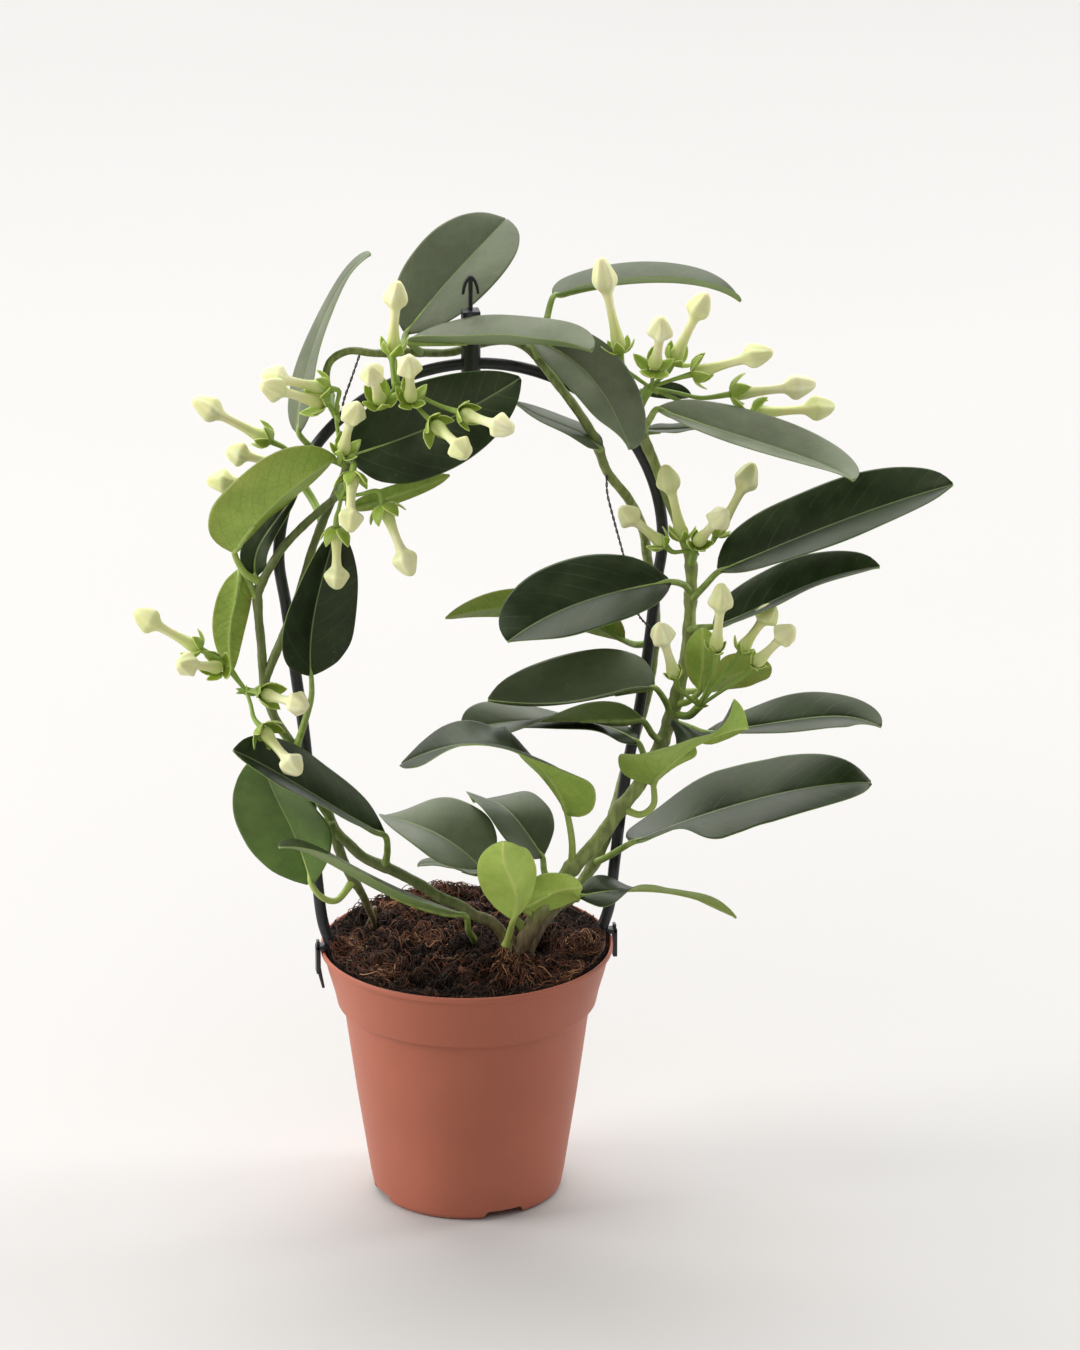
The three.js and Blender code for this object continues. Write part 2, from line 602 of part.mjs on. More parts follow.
function hoopPath() {
  const leg = [[41.2, 45], [44, 66], [46.1, 83], [51, 95], [55, 106], [56, 110], [59.2, 120], [61.5, 140]];
  const left = [...leg.map(([x, z]) => [-x, z]), [-65.7, 200], [-69.5, 232]];
  const right = [...leg, [66, 178], [71.2, 205], [75, 232]].reverse();
  const arch = [];
  for (let turn = 195; turn >= -15; turn -= 15) {
    const angle = THREE.MathUtils.degToRad(turn);
    arch.push([ARCH_X + ARCH_R * Math.cos(angle), ARCH_Z + ARCH_R * Math.sin(angle)]);
  }
  return [...left, ...arch, ...right].map(([x, z]) => new THREE.Vector3(x, 0, z));
}

function barSolid(extra) {
  const path = smooth(hoopPath(), 16);
  const [half, deep] = BAR;
  return swept(path, () => half + extra, 8, (deep + extra) / (half + extra));
}

function boxSolid([x0, x1], [y0, y1], [z0, z1]) {
  const geometry = new THREE.BoxGeometry(x1 - x0, y1 - y0, z1 - z0);
  geometry.translate((x0 + x1) / 2, (y0 + y1) / 2, (z0 + z1) / 2);
  return solidFrom(geometry);
}

// A clip on each leg: a bridge over the rim and a plate outside it. The left one has a prong down its leg.
function clipSolid(sign) {
  const span = (a, b) => [Math.min(sign * a, sign * b), Math.max(sign * a, sign * b)];
  const bridge = boxSolid(span(56.5, 62.4), [-2.4, 2.4], [108.9, 110.7]);
  const plate = boxSolid(span(60.6, 62.4), [-2.4, 2.4], [98.5, 110.7]);
  const nub = boxSolid(span(60.8, 62.1), [-1.4, 1.4], [110.2, 112.6]);
  const prongLine = [[61.2, 100], [60.3, 96], [58.6, 87]];
  const prongPath = prongLine.map(([x, z]) => new THREE.Vector3(sign * x, 0, z));
  const prong = swept(prongPath, tapered([0.95, 0.7]), 5);
  return joined(sign < 0 ? [bridge, plate, nub, prong] : [bridge, plate, nub]);
}

// The square-shouldered socket on top of the hoop and its arrow-shaped spike.
function socketSolid() {
  const [foot, top] = SOCKET_Z;
  const tube = revolved([[0, foot], [SOCKET_R, foot], [SOCKET_R, top], [0, top]], 10);
  const collar = boxSolid([-3.6, 3.6], [-3.3, 3.3], [top - 2.4, top + 0.4]);
  const shaft = swept([new THREE.Vector3(0, 0, top - 1), new THREE.Vector3(0, 0, SPIKE_TOP)], () => 0.9, 6);
  const arms = [-1, 1].map((sign) =>
    swept(
      [
        new THREE.Vector3(0, 0, SPIKE_TOP + 0.2), new THREE.Vector3(sign * 1.4, 0, SPIKE_TOP - 1.2),
        new THREE.Vector3(sign * 3.1, 0, SPIKE_TOP - 7),
      ],
      tapered([0.75, 0.6]), 6,
    ),
  );
  return joined([tube, collar, shaft, ...arms]).translate([ARCH_X, 0, 0]);
}

function hoopSolid(extra) {
  return joined([barSolid(extra), clipSolid(-1), clipSolid(1), socketSolid()]);
}

function potSolid() {
  const lipZ = POT_H - LIP_H;
  const outer = [
    [0, 0], [BASE_R - FOOT_ROUND, 0], [BASE_R - 1, 1], [BASE_R + 0.3, FOOT_ROUND],
    [BODY_TOP_R, BAND_FOOT_Z], [BAND_FOOT_R, BAND_FOOT_Z], [BAND_TOP_R, lipZ],
    [RIM_R - 0.3, lipZ], [RIM_R, lipZ + 0.6], [RIM_R, POT_H - 0.6], [RIM_R - 0.4, POT_H],
  ];
  const inner = [
    [BAND_TOP_R - 0.1, POT_H], [BAND_FOOT_R - WALL, BAND_FOOT_Z + 1.4], [BODY_TOP_R - WALL, BAND_FOOT_Z - 1],
    [BASE_R - WALL + 0.6, FLOOR_Z], [0, FLOOR_Z],
  ];
  const shell = revolved([...outer, ...inner], POT_SIDES);
  const [from, to] = CHANNEL_R;
  const channelProfile = [[from, -1], [to, -1], [to - 1, CHANNEL_H], [from + 1, CHANNEL_H], [from, -1]];
  const channel = revolved(channelProfile, POT_SIDES);
  const cutters = [channel];
  for (let k = 0; k < DRAIN_HOLES; k++) {
    const angle = (2 * Math.PI * k) / DRAIN_HOLES;
    const hole = revolved([[0, -1], [DRAIN_R, -1], [DRAIN_R, FLOOR_Z + 1], [0, FLOOR_Z + 1]], 8);
    cutters.push(hole.translate([23 * Math.cos(angle), 23 * Math.sin(angle), 0]));
  }
  for (let k = 0; k < NOTCHES; k++) {
    cutters.push(notchSolid().rotate([0, 0, NOTCH_FROM + (360 * k) / NOTCHES]));
  }
  return shell.subtract(joined(cutters));
}

// A slot through the foot ring with sloping ends, drawn along X.
function notchSolid() {
  const shape = new THREE.Shape([
    new THREE.Vector2(-NOTCH_W / 2 - 1.6, -1), new THREE.Vector2(NOTCH_W / 2 + 1.6, -1),
    new THREE.Vector2(NOTCH_W / 2 - 1.6, CHANNEL_H), new THREE.Vector2(-NOTCH_W / 2 + 1.6, CHANNEL_H),
  ]);
  const geometry = new THREE.ExtrudeGeometry(shape, { depth: 16, bevelEnabled: false });
  geometry.rotateX(Math.PI / 2).rotateZ(Math.PI / 2).translate(28, 0, 0);
  return solidFrom(geometry);
}

// Soil: a filled cup with a lumpy, slightly raised top.
const SOIL_RINGS = 5;
const SOIL_SECTORS = 18;
const SOIL_EDGE_Z = 105.5;
const SOIL_RISE = 3;
const CLEAR = 0.35;

function soilSurface(x, y) {
  const share = Math.hypot(x, y) / RIM_R;
  const lumps =
    1.2 * Math.sin(x * 0.21 + 1.3) * Math.cos(y * 0.24 - 0.4) + 0.8 * Math.sin(x * 0.47 - y * 0.39 + 2.1);
  return SOIL_EDGE_Z + SOIL_RISE * (1 - share * share) + lumps * (1 - share ** 4);
}

function soilSolid() {
  const edge = BAND_FOOT_R - WALL - CLEAR + ((BAND_TOP_R - BAND_FOOT_R) * 19.5) / 22;
  const sides = [
    [edge, null], [BAND_FOOT_R - WALL - CLEAR - 0.2, BAND_FOOT_Z + 1.6],
    [BODY_TOP_R - WALL - CLEAR - 0.2, BAND_FOOT_Z - 1.2], [BASE_R - WALL - CLEAR + 0.4, FLOOR_Z + CLEAR],
  ];
  const points = [new THREE.Vector3(0, 0, soilSurface(0, 0))];
  const ring = (radius, heightAt) => {
    for (let k = 0; k < SOIL_SECTORS; k++) {
      const angle = (2 * Math.PI * k) / SOIL_SECTORS;
      const [x, y] = [radius * Math.cos(angle), radius * Math.sin(angle)];
      points.push(new THREE.Vector3(x, y, heightAt(x, y)));
    }
  };
  for (let i = 1; i < SOIL_RINGS; i++) ring((edge * i) / SOIL_RINGS, soilSurface);
  sides.forEach(([radius, z]) => ring(radius, z === null ? soilSurface : () => z));
  const rings = SOIL_RINGS - 1 + sides.length;
  points.push(new THREE.Vector3(0, 0, FLOOR_Z + CLEAR));
  const triangles = [];
  const id = (i, k) => 1 + i * SOIL_SECTORS + (k % SOIL_SECTORS);
  for (let k = 0; k < SOIL_SECTORS; k++) {
    triangles.push([0, id(0, k), id(0, k + 1)]);
    for (let i = 0; i < rings - 1; i++) {
      triangles.push([id(i, k), id(i + 1, k), id(i + 1, k + 1)], [id(i, k), id(i + 1, k + 1), id(i, k + 1)]);
    }
    triangles.push([id(rings - 1, k), points.length - 1, id(rings - 1, k + 1)]);
  }
  return solidOf(points, triangles);
}

const root = new THREE.Group();
root.name = "potted_madagascar_jasmine";

const grownStems = Object.fromEntries(Object.keys(STEMS).map((name) => [name, stemSolid(name, GAP)]));
const grownHoop = barSolid(GAP);

root.add(nodeOf("pot", potSolid(), FINISH.pot));
const soilHoles = joined([...Object.values(grownStems), grownHoop]);
root.add(nodeOf("soil", largest(soilSolid().subtract(soilHoles)), FINISH.soil));
root.add(nodeOf("hoop", hoopSolid(0), FINISH.hoop));
for (const name of Object.keys(STEMS)) {
  root.add(nodeOf(name, stemSolid(name, 0), FINISH.stem));
}
for (const [name, leaf] of Object.entries(LEAVES)) {
  root.add(nodeOf(name, largest(leafSolid(leaf).subtract(grownStems[leaf.stem])), FINISH.leaf));
}
for (const [name, spray] of Object.entries(SPRAYS)) {
  root.add(nodeOf(name, largest(spraySolid(spray).subtract(grownStems[spray.stem])), FINISH.bud));
}
for (const [name, path] of Object.entries(WIRES)) {
  const wire = swept(smooth(path.map(at), 8), () => WIRE_R, 4);
  root.add(nodeOf(name, largest(wire.subtract(grownStems.stem_long).subtract(grownHoop)), FINISH.wire));
}

export default root;
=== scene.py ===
"""Looks for the potted Madagascar jasmine: leaves, stems, buds, soil, hoop and pot, in metres."""

import math
import random

import bmesh
import bpy
import numpy as np
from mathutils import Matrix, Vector, noise

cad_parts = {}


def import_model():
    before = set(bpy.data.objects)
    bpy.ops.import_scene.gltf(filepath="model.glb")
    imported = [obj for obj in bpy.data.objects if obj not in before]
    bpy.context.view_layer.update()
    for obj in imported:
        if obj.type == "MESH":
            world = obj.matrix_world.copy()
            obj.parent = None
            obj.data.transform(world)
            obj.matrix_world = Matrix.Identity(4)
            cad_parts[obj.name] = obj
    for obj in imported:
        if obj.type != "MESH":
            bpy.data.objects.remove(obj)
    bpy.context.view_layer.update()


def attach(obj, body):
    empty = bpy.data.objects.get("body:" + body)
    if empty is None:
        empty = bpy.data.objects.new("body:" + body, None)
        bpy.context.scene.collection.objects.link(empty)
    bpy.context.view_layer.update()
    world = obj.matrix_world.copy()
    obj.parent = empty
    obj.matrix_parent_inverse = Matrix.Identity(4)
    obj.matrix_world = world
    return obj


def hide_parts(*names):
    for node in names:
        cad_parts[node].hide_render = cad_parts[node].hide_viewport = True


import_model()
MM = 0.001
VIEW_TURN = math.radians(-8)
# A full turn, and the one that the seeded angles of leaves, buds and roots are drawn from.
TURN, ANY_TURN = 6.2832, 6.28


def turned(p):
    """A row of the tables, (across, up, near), as a place or a direction of the part."""
    c, s = math.cos(VIEW_TURN), math.sin(VIEW_TURN)
    return np.array([p[0] * c + p[2] * s, p[0] * s - p[2] * c, p[1]], float)


def at(p):
    return turned(p) * MM


# The tables are in millimetres, each point as (across, up, near) in the plane of the hoop.
# A leaf: its stem, its stalk's points, two bends and the tip of its midrib, its width, the fold of its two
# halves in radians, and the way its upper side looks from the stalk to the tip.
LEAVES = {
    "top_back": ("long", [(-25, 364, 6), (-24, 366, 0), (-23, 368, -6)], (-10, 384, -16), (7, 399, -23),
        (17, 405, -40), 39, 0.33, (-0.42, 0.64, 0.65), (-0.18, 0.53, 0.83)),
    "top_bar": ("long", [(-18, 362, 0), (-20, 366, 6), (-22, 370, 11)], (1, 372, 22), (36, 374, 19),
        (50, 373, 35), 34, 0.52, (0.08, 1, -0.04), (0.06, 1, 0.02)),
    "top_arch": ("long", [(28, 361, 0), (32, 370, -6), (36, 381, -14)], (53, 382, -28), (94, 389, -25),
        (111, 374, -28), 28, 0.46, (-0.21, 0.98, -0.02), (-0.1, 0.99, -0.05)),
    "top_droop": ("long", [(30, 359, 2), (27, 369, 8)], (51, 364, 12), (61, 339, 13), (65, 332, 33), 30,
        0.39, (0.43, 0.62, 0.65), (0.6, 0.25, 0.76)),
    "right_high": ("right", [(71, 327, -3), (74, 335, 4), (77, 341, 10)], (107, 330, 11), (145, 319, 9),
        (154, 317, 29), 30, 0.42, (0.09, 0.95, 0.3), (0.32, 0.93, 0.21)),
    "right_long": ("right", [(91, 255, -4), (96, 263, 2), (102, 271, 6)], (125, 279, -2), (167, 297, -2),
        (195, 309, 11), 38, 0.46, (-0.17, 0.93, 0.34), (-0.09, 0.83, 0.55)),
    "right_mid": ("right", [(90, 243, -2), (94, 247, 6), (100, 250, 13)], (122, 256, 7), (140, 271, 9),
        (166, 276, 16), 32, 0.5, (-0.14, 0.97, 0.18), (0.02, 0.97, 0.24)),
    "inner_dark": ("right", [(91, 258, -5), (88, 264, 2), (82, 267, 7)], (50, 267, 20), (30, 259, 25),
        (17, 254, 41), 42, 0.35, (-0.29, 0.78, 0.55), (-0.35, 0.73, 0.58)),
    "inner_behind": ("long", [(77, 230, -24), (70, 230, -21), (64, 235, -13)], (45, 253, -6), (15, 257, -3),
        (-8, 253, 10), 25, 0.27, (0.12, 0.55, -0.82), (0.11, 0.63, -0.77)),
    "inner_third": ("right", [(83, 208, 4), (81, 216, 9), (76, 224, 13)], (61, 222, 8), (37, 212, 13),
        (9, 221, 19), 49, 0.57, (0.03, 0.99, 0.11), (-0.05, 0.99, 0.13)),
    "inner_folded": ("right", [(80, 198, 5), (76, 202, 10), (71, 210, 13)], (43, 211, 14), (14, 212, 15),
        (-1, 211, 28), 34, 0.31, (0, 0.62, -0.79), (0, 0.89, 0.45)),
    "inner_under": ("right", [(78, 191, 6), (74, 189, 5), (70, 196, 2)], (52, 208, -6), (30, 205, 6),
        (5, 206, 7), 25, 0.1, (-0.3, 0.95, -0.01), (-0.24, 0.96, -0.12)),
    "low_overturned": ("right", [(43, 145, 11), (43, 157, 12), (41, 170, 14)], (37, 208, 51), (11, 231, 64),
        (-26, 197, 28), 44, 0.27, (0.56, -0.13, -0.82), (0.37, 0.92, -0.14), (-0.6, 0.78, 0.05)),
    "low_twisted": ("right", [(63, 170, 8), (71, 169, 13), (76, 174, 15), (76, 182, 13)], (75, 199, 43),
        (96, 216, 39), (114, 205, 10), 44, 0.49, (-0.23, 0.32, -0.92), (-0.07, 0.99, -0.15),
        (-0.84, 0.45, -0.31)),
    "right_low_back": ("right", [(83, 206, 4), (90, 201, -3), (98, 196, -9)], (139, 204, -2),
        (153, 202, -23), (169, 199, -7), 28, 0.36, (0.26, 0.96, 0.12), (0.3, 0.92, 0.26)),
    "right_low": ("long", [(52, 140, -6), (59, 147, 2), (68, 155, 8)], (93, 152, -29), (138, 182, 8),
        (165, 178, 2), 43, 0.25, (-0.14, 0.97, -0.21), (-0.01, 0.94, 0.35), (0.14, 0.92, 0.36)),
    "soil_right": ("long", [(43, 128, 0), (45, 130, 8), (46, 134, 15)], (64, 137, 11), (90, 137, 9),
        (110, 126, 19), 26, 0.19, (-0.22, 0.87, 0.43), (-0.22, 0.88, -0.4), (-0.25, 0.75, -0.6)),
    "soil_round": ("right", [(16, 112, 14), (18, 122, 20), (19, 129, 27)], (23, 149, 33), (13, 154, 43),
        (15, 171, 47), 27, 0.47, (-0.39, 0.23, -0.89), (-0.21, 0.25, -0.95)),
    "soil_small": ("right", [(26, 126, 13), (23, 130, 17)], (39, 138, 14), (37, 142, 27), (47, 143, 27), 20,
        0.26, (-0.04, 0.2, -0.98), (-0.07, 0.23, -0.97)),
    "low_left": ("right", [(23, 119, 12), (12, 138, 21), (6, 152, 29)], (-3, 160, 21), (-16, 168, 20),
        (-34, 166, 6), 43, 0.37, (0.47, 0.71, 0.53), (0.74, 0.56, 0.38)),
    "low_upright": ("right", [(36, 137, 12), (32, 142, 9), (31, 148, 6)], (22, 163, 5), (14, 172, -5),
        (3, 164, -15), 35, 0.32, (0.59, 0.6, 0.55), (0.68, 0.62, 0.4)),
    "low_sliver": ("right", [(28, 128, 13), (18, 132, 4), (6, 136, -6)], (-3, 136, -8), (-9, 143, -6),
        (-20, 141, -2), 15, 0.21, (-0.01, 0.99, -0.15), (0, 1, -0.04)),
    "left_edge_on": ("left", [(4, 100, -1), (3.2, 109, 2), (0.8, 119.5, 16), (-1, 131, 27)], (-38, 138, 33),
        (-59, 168, 37), (-75, 170, 50), 23, 0.37, (0.07, 0.97, -0.25), (0.06, 1, -0.04)),
    "left_low": ("left", [(-33, 148, 14), (-32, 157, 20), (-33, 165, 25)], (-58, 182, 31), (-77, 201, 41),
        (-93, 210, 46), 34, 0.48, (0.08, 0.98, 0.19), (0.09, 0.87, 0.49)),
    "left_bright": ("left", [(-46, 138, 6), (-53, 132, 13), (-59, 136, 19), (-63, 143, 22)], (-71, 170, 12),
        (-75, 172, 22), (-83, 203, 32), 43, 0.35, (-0.5, 0.28, 0.82), (-0.37, 0.25, 0.89)),
    "left_upright": ("left", [(-69, 199, 17), (-65, 212, 20), (-62, 224, 22), (-62, 234, 24)],
        (-63.5, 251, 22), (-59.5, 269, 27), (-51, 298, 28), 35, 0.53, (0.25, 0.23, 0.94),
        (0.53, 0.04, 0.84)),
    "left_hanging": ("left", [(-83, 263, 17), (-87, 272, 18), (-90, 277, 18)], (-91, 261, 21),
        (-97, 255, 15), (-94, 232, 15), 16, 0.42, (-0.15, 0.15, -0.98), (-0.24, 0.15, -0.96)),
    "left_face": ("left", [(-82, 271, 17), (-88, 276, 20), (-92, 286, 23)], (-85, 303, 35), (-71, 319, 41),
        (-51, 327, 28), 41, 0.51, (-0.42, 0.58, -0.7), (-0.43, 0.43, -0.8)),
    "left_small": ("left", [(-82, 268, 17), (-84, 272, 13)], (-86, 284, 11), (-79, 291, 17), (-66, 310, 15),
        15, 0.39, (-0.14, 0.7, 0.7), (-0.28, 0.82, 0.5)),
    "left_narrow": ("left", [(-47, 318, 10), (-58, 324, 13), (-66, 333, 14)], (-67, 352, 4), (-52, 396, 1),
        (-37, 406, 12), 27, 0.13, (-0.64, 0.75, 0.16), (-0.57, 0.82, 0.03)),
    "centre_dark": ("left", [(-46, 321, 11), (-46, 324, 17)], (-22, 332, 17), (-5, 341, 26), (22, 360, 28),
        41, 0.42, (0.14, 0.39, 0.91), (0.19, 0.34, 0.92)),
    "centre_sliver": ("left", [(-46, 313, 19), (-46, 302, 18)], (-34, 307, 21), (-20, 312, 23),
        (-6, 318, 23), 9, 0.26, (-0.01, 0.21, -0.98), (-0.02, 0.24, -0.97)),
    "centre_right": ("long", [(54, 322, 3), (54, 324, 9)], (47, 332, 5), (32, 334, 7), (20, 344, 10), 26,
        0.15, (-0.02, 0.99, -0.04), (0.04, 0.99, 0.02)),
    "tiny_right": ("right", [(69, 333, -2), (71, 343, -8)], (78, 342, -10), (85, 342, -12), (91, 339, -13),
        8, 0.29, (0, 0.69, 0.72), (0, 0.69, 0.72)),
    "thin_right": ("right", [(73, 321, -4), (72, 326, -8)], (79, 326, -9), (87, 326, -8), (94, 328, -6), 10,
        0.29, (0, 1, 0.07), (0, 0.99, 0.11)),
    "right_round": ("right", [(85, 213, 3), (90, 216, 8), (95, 222, 11)], (96, 236, 13), (95, 242, 23),
        (95, 254, 25), 15, 0.29, (-0.05, 0.3, -0.95), (0.01, 0.29, -0.96)),
    "right_light": ("right", [(86, 218, 2), (92, 216, -4), (97, 216, -6)], (107, 220, -13), (116, 224, -11),
        (124, 226, -6), 21, 0.22, (0.15, 0.65, -0.74), (0.22, 0.35, -0.91)),
}
# A cluster: its stem, its stalk's points, and the foot and tip of each bud.
SPRAYS = {
    "top_left": ("long", [(-30, 364, 7), (-28, 364, 20), (-27, 358, 31)], [((-28, 371, 30), (-26, 401, 31)),
        ((-21, 355, 40), (-22, 378, 57)), ((-33, 353, 37), (-37, 373, 53)), ((-12, 347, 46), (1, 341, 68)),
        ((-1, 352, 48), (19, 351, 66))]),
    "far_left": ("long", [(-53, 347, 9), (-53, 346, 17), (-51, 344, 24)], [((-54, 356, 28), (-80, 363, 31)),
        ((-56, 350, 29), (-80, 362, 42)), ((-48, 331, 34), (-42, 356, 47))]),
    "left_hanging": ("left", [(-45, 314, 19), (-49, 314, 27), (-49, 312, 33)], [((-44, 324, 40),
        (-45, 306, 57)), ((-51, 300, 36), (-51, 275, 37)), ((-32, 310, 37), (-21, 283, 44))]),
    "left_back": ("left", [(-57, 292, 9), (-60, 297, -2), (-66, 305, -9)], [((-78, 323, -6),
        (-109, 340, -8)), ((-72, 311, -8), (-96, 318, -10)), ((-76, 305, -10), (-104, 304, -12))]),
    "low_left": ("left", [(-81, 227, 17), (-85, 226, 22), (-88, 228, 26)], [((-106, 249, 34),
        (-132, 265, 34)), ((-98, 241, 34), (-114, 250, 54)), ((-81, 230, 35), (-63, 231, 52)),
        ((-81, 216, 38), (-66, 203, 54))]),
    "top_right": ("right", [(69, 334, -2), (71, 342, 3), (74, 349, 7)], [((62, 363, 4), (54, 401, 0)),
        ((75, 361, 18), (77, 387, 36)), ((83, 361, 10), (96, 390, 12)), ((91, 357, 14), (122, 368, 20)),
        ((107, 342, -6), (141, 344, -13)), ((116, 332, -12), (149, 332.5, -19))]),
    "right": ("right", [(91, 269, -6), (92, 275, -1), (92, 279, 3)], [((87, 284, 3), (80, 315, 2)),
        ((101, 284, -2), (116, 313, -6)), ((93, 284, 9), (104, 303, 25)), ((80, 282, 5), (62, 298, 5))]),
    "low_right": ("right", [(85, 209, 4), (90, 213, 16), (94, 220, 24)], [((100, 246, 30), (102, 277, 38)),
        ((84, 234, 28), (77, 260, 37)), ((111, 240, 14), (124, 260, 16)), ((116, 237, 22),
        (131, 256, 30))]),
}
# A stem: its runs from the soil up, each with its first and last radius and its points.
STEMS = {
    "right": [
        ((3.4, 1.9), [(16, 98, 12), (24.5, 116, 12), (30, 127, 12.5), (37, 137, 12), (43, 145, 11),
            (50, 152, 10), (57, 161, 9), (63, 170, 8), (71, 181, 8), (78, 194, 6), (83, 207, 4),
            (87, 222, 1), (90, 238, -1), (91, 254, -4), (91, 271, -6), (87, 284, -7), (81, 300, -6),
            (76, 314, -4), (72, 324, -3), (69, 336, -2)]),
    ],
    "long": [
        ((2.5, 1.5), [(23, 102, 10), (29, 116, 9), (36, 124, 4), (43, 128, 0), (50, 137, -4), (56, 147, -9),
            (62, 163, -17), (68, 186, -21), (74, 207, -23), (77, 229, -24), (77, 250, -24), (74, 267, -22),
            (72, 281, -18), (66, 296, -11), (57, 311, -2), (52, 327, 5), (44, 341, 7), (35, 353, 6),
            (27, 362, 0), (18, 364, -8), (7, 362, -11), (-5, 359, -9), (-16, 361, -2), (-25, 364, 6),
            (-35, 364, 8), (-46, 365, 8), (-53, 361, 8), (-55, 354, 8), (-53, 346, 9)]),
    ],
    "left": [
        ((2.4, 1.6), [(17, 103, 9), (15.4, 114, 10), (10.4, 121.5, 12), (2.6, 126, 14), (-3, 130, 14),
            (-11, 134, 15), (-18, 139, 15), (-29, 145, 14), (-42, 151, 13), (-48, 157, 13), (-53, 162, 12),
            (-56, 169, 11), (-61, 179, 15), (-66, 194, 16), (-71, 203, 17), (-77, 213, 17), (-81, 229, 17),
            (-82, 245, 17), (-83, 258, 17), (-83, 267, 17), (-80, 274, 18), (-73, 286, 19), (-64, 296, 19),
            (-52, 307, 19), (-44, 315, 19)]),
        ((1.1, 2.3), [(-38, 100, -20), (-38.4, 110, -18), (-39, 115.3, -12), (-40.5, 121, -6),
            (-42, 127.8, 0), (-44, 134, 5), (-48, 142, 7), (-52, 154, 10), (-55, 166, 13)]),
        ((1.9, 1.5), [(-81, 229, 17), (-75, 244, 18), (-70, 256, 17), (-66, 267, 14), (-61, 283, 9),
            (-55, 298, 8), (-49, 312, 9), (-45, 324, 11)]),
    ],
}
WIRES = {
    "tie_right": [(57, 311, -2), (57, 304, 3), (60, 291, 3), (64, 275, 1), (67, 260, 1), (70, 250, -1),
        (76, 240, -11)],
    "tie_left": [(-41, 365, 8), (-45, 354, 11), (-48, 345, 10), (-49, 338, 7)],
    "tie_top": [(27, 362, 0), (34, 354, 3), (39, 349, -1), (43, 346, -6)],
}


def unit(v):
    return v / max(np.linalg.norm(v), 1e-12)


CURVE_CUTS = 24


def smooth(points, step):
    """A centripetal Catmull-Rom curve through the points, as points about one step apart."""
    p = [np.asarray(q, float) for q in points]
    p = [2 * p[0] - p[1]] + p + [2 * p[-1] - p[-2]]
    dense = []
    for i in range(1, len(p) - 2):
        q = p[i - 1:i + 3]
        t = [0.0]
        for a, b in zip(q, q[1:]):
            t.append(t[-1] + max(np.linalg.norm(b - a), 1e-9) ** 0.5)
        for k in range(CURVE_CUTS):
            x = t[1] + (t[2] - t[1]) * k / CURVE_CUTS
            near = [(q[j] * (t[j + 1] - x) + q[j + 1] * (x - t[j])) / (t[j + 1] - t[j]) for j in range(3)]
            mid = [(near[j] * (t[j + 2] - x) + near[j + 1] * (x - t[j])) / (t[j + 2] - t[j])
                   for j in range(2)]
            dense.append((mid[0] * (t[2] - x) + mid[1] * (x - t[1])) / (t[2] - t[1]))
    dense.append(p[-2])
    dense = np.array(dense)
    along = np.concatenate([[0], np.cumsum(np.linalg.norm(np.diff(dense, axis=0), axis=1))])
    count = max(2, round(along[-1] / step))
    want = np.linspace(0, along[-1], count + 1)
    return np.column_stack([np.interp(want, along, dense[:, k]) for k in range(3)])


NONE = (0, 0, 0, 0)


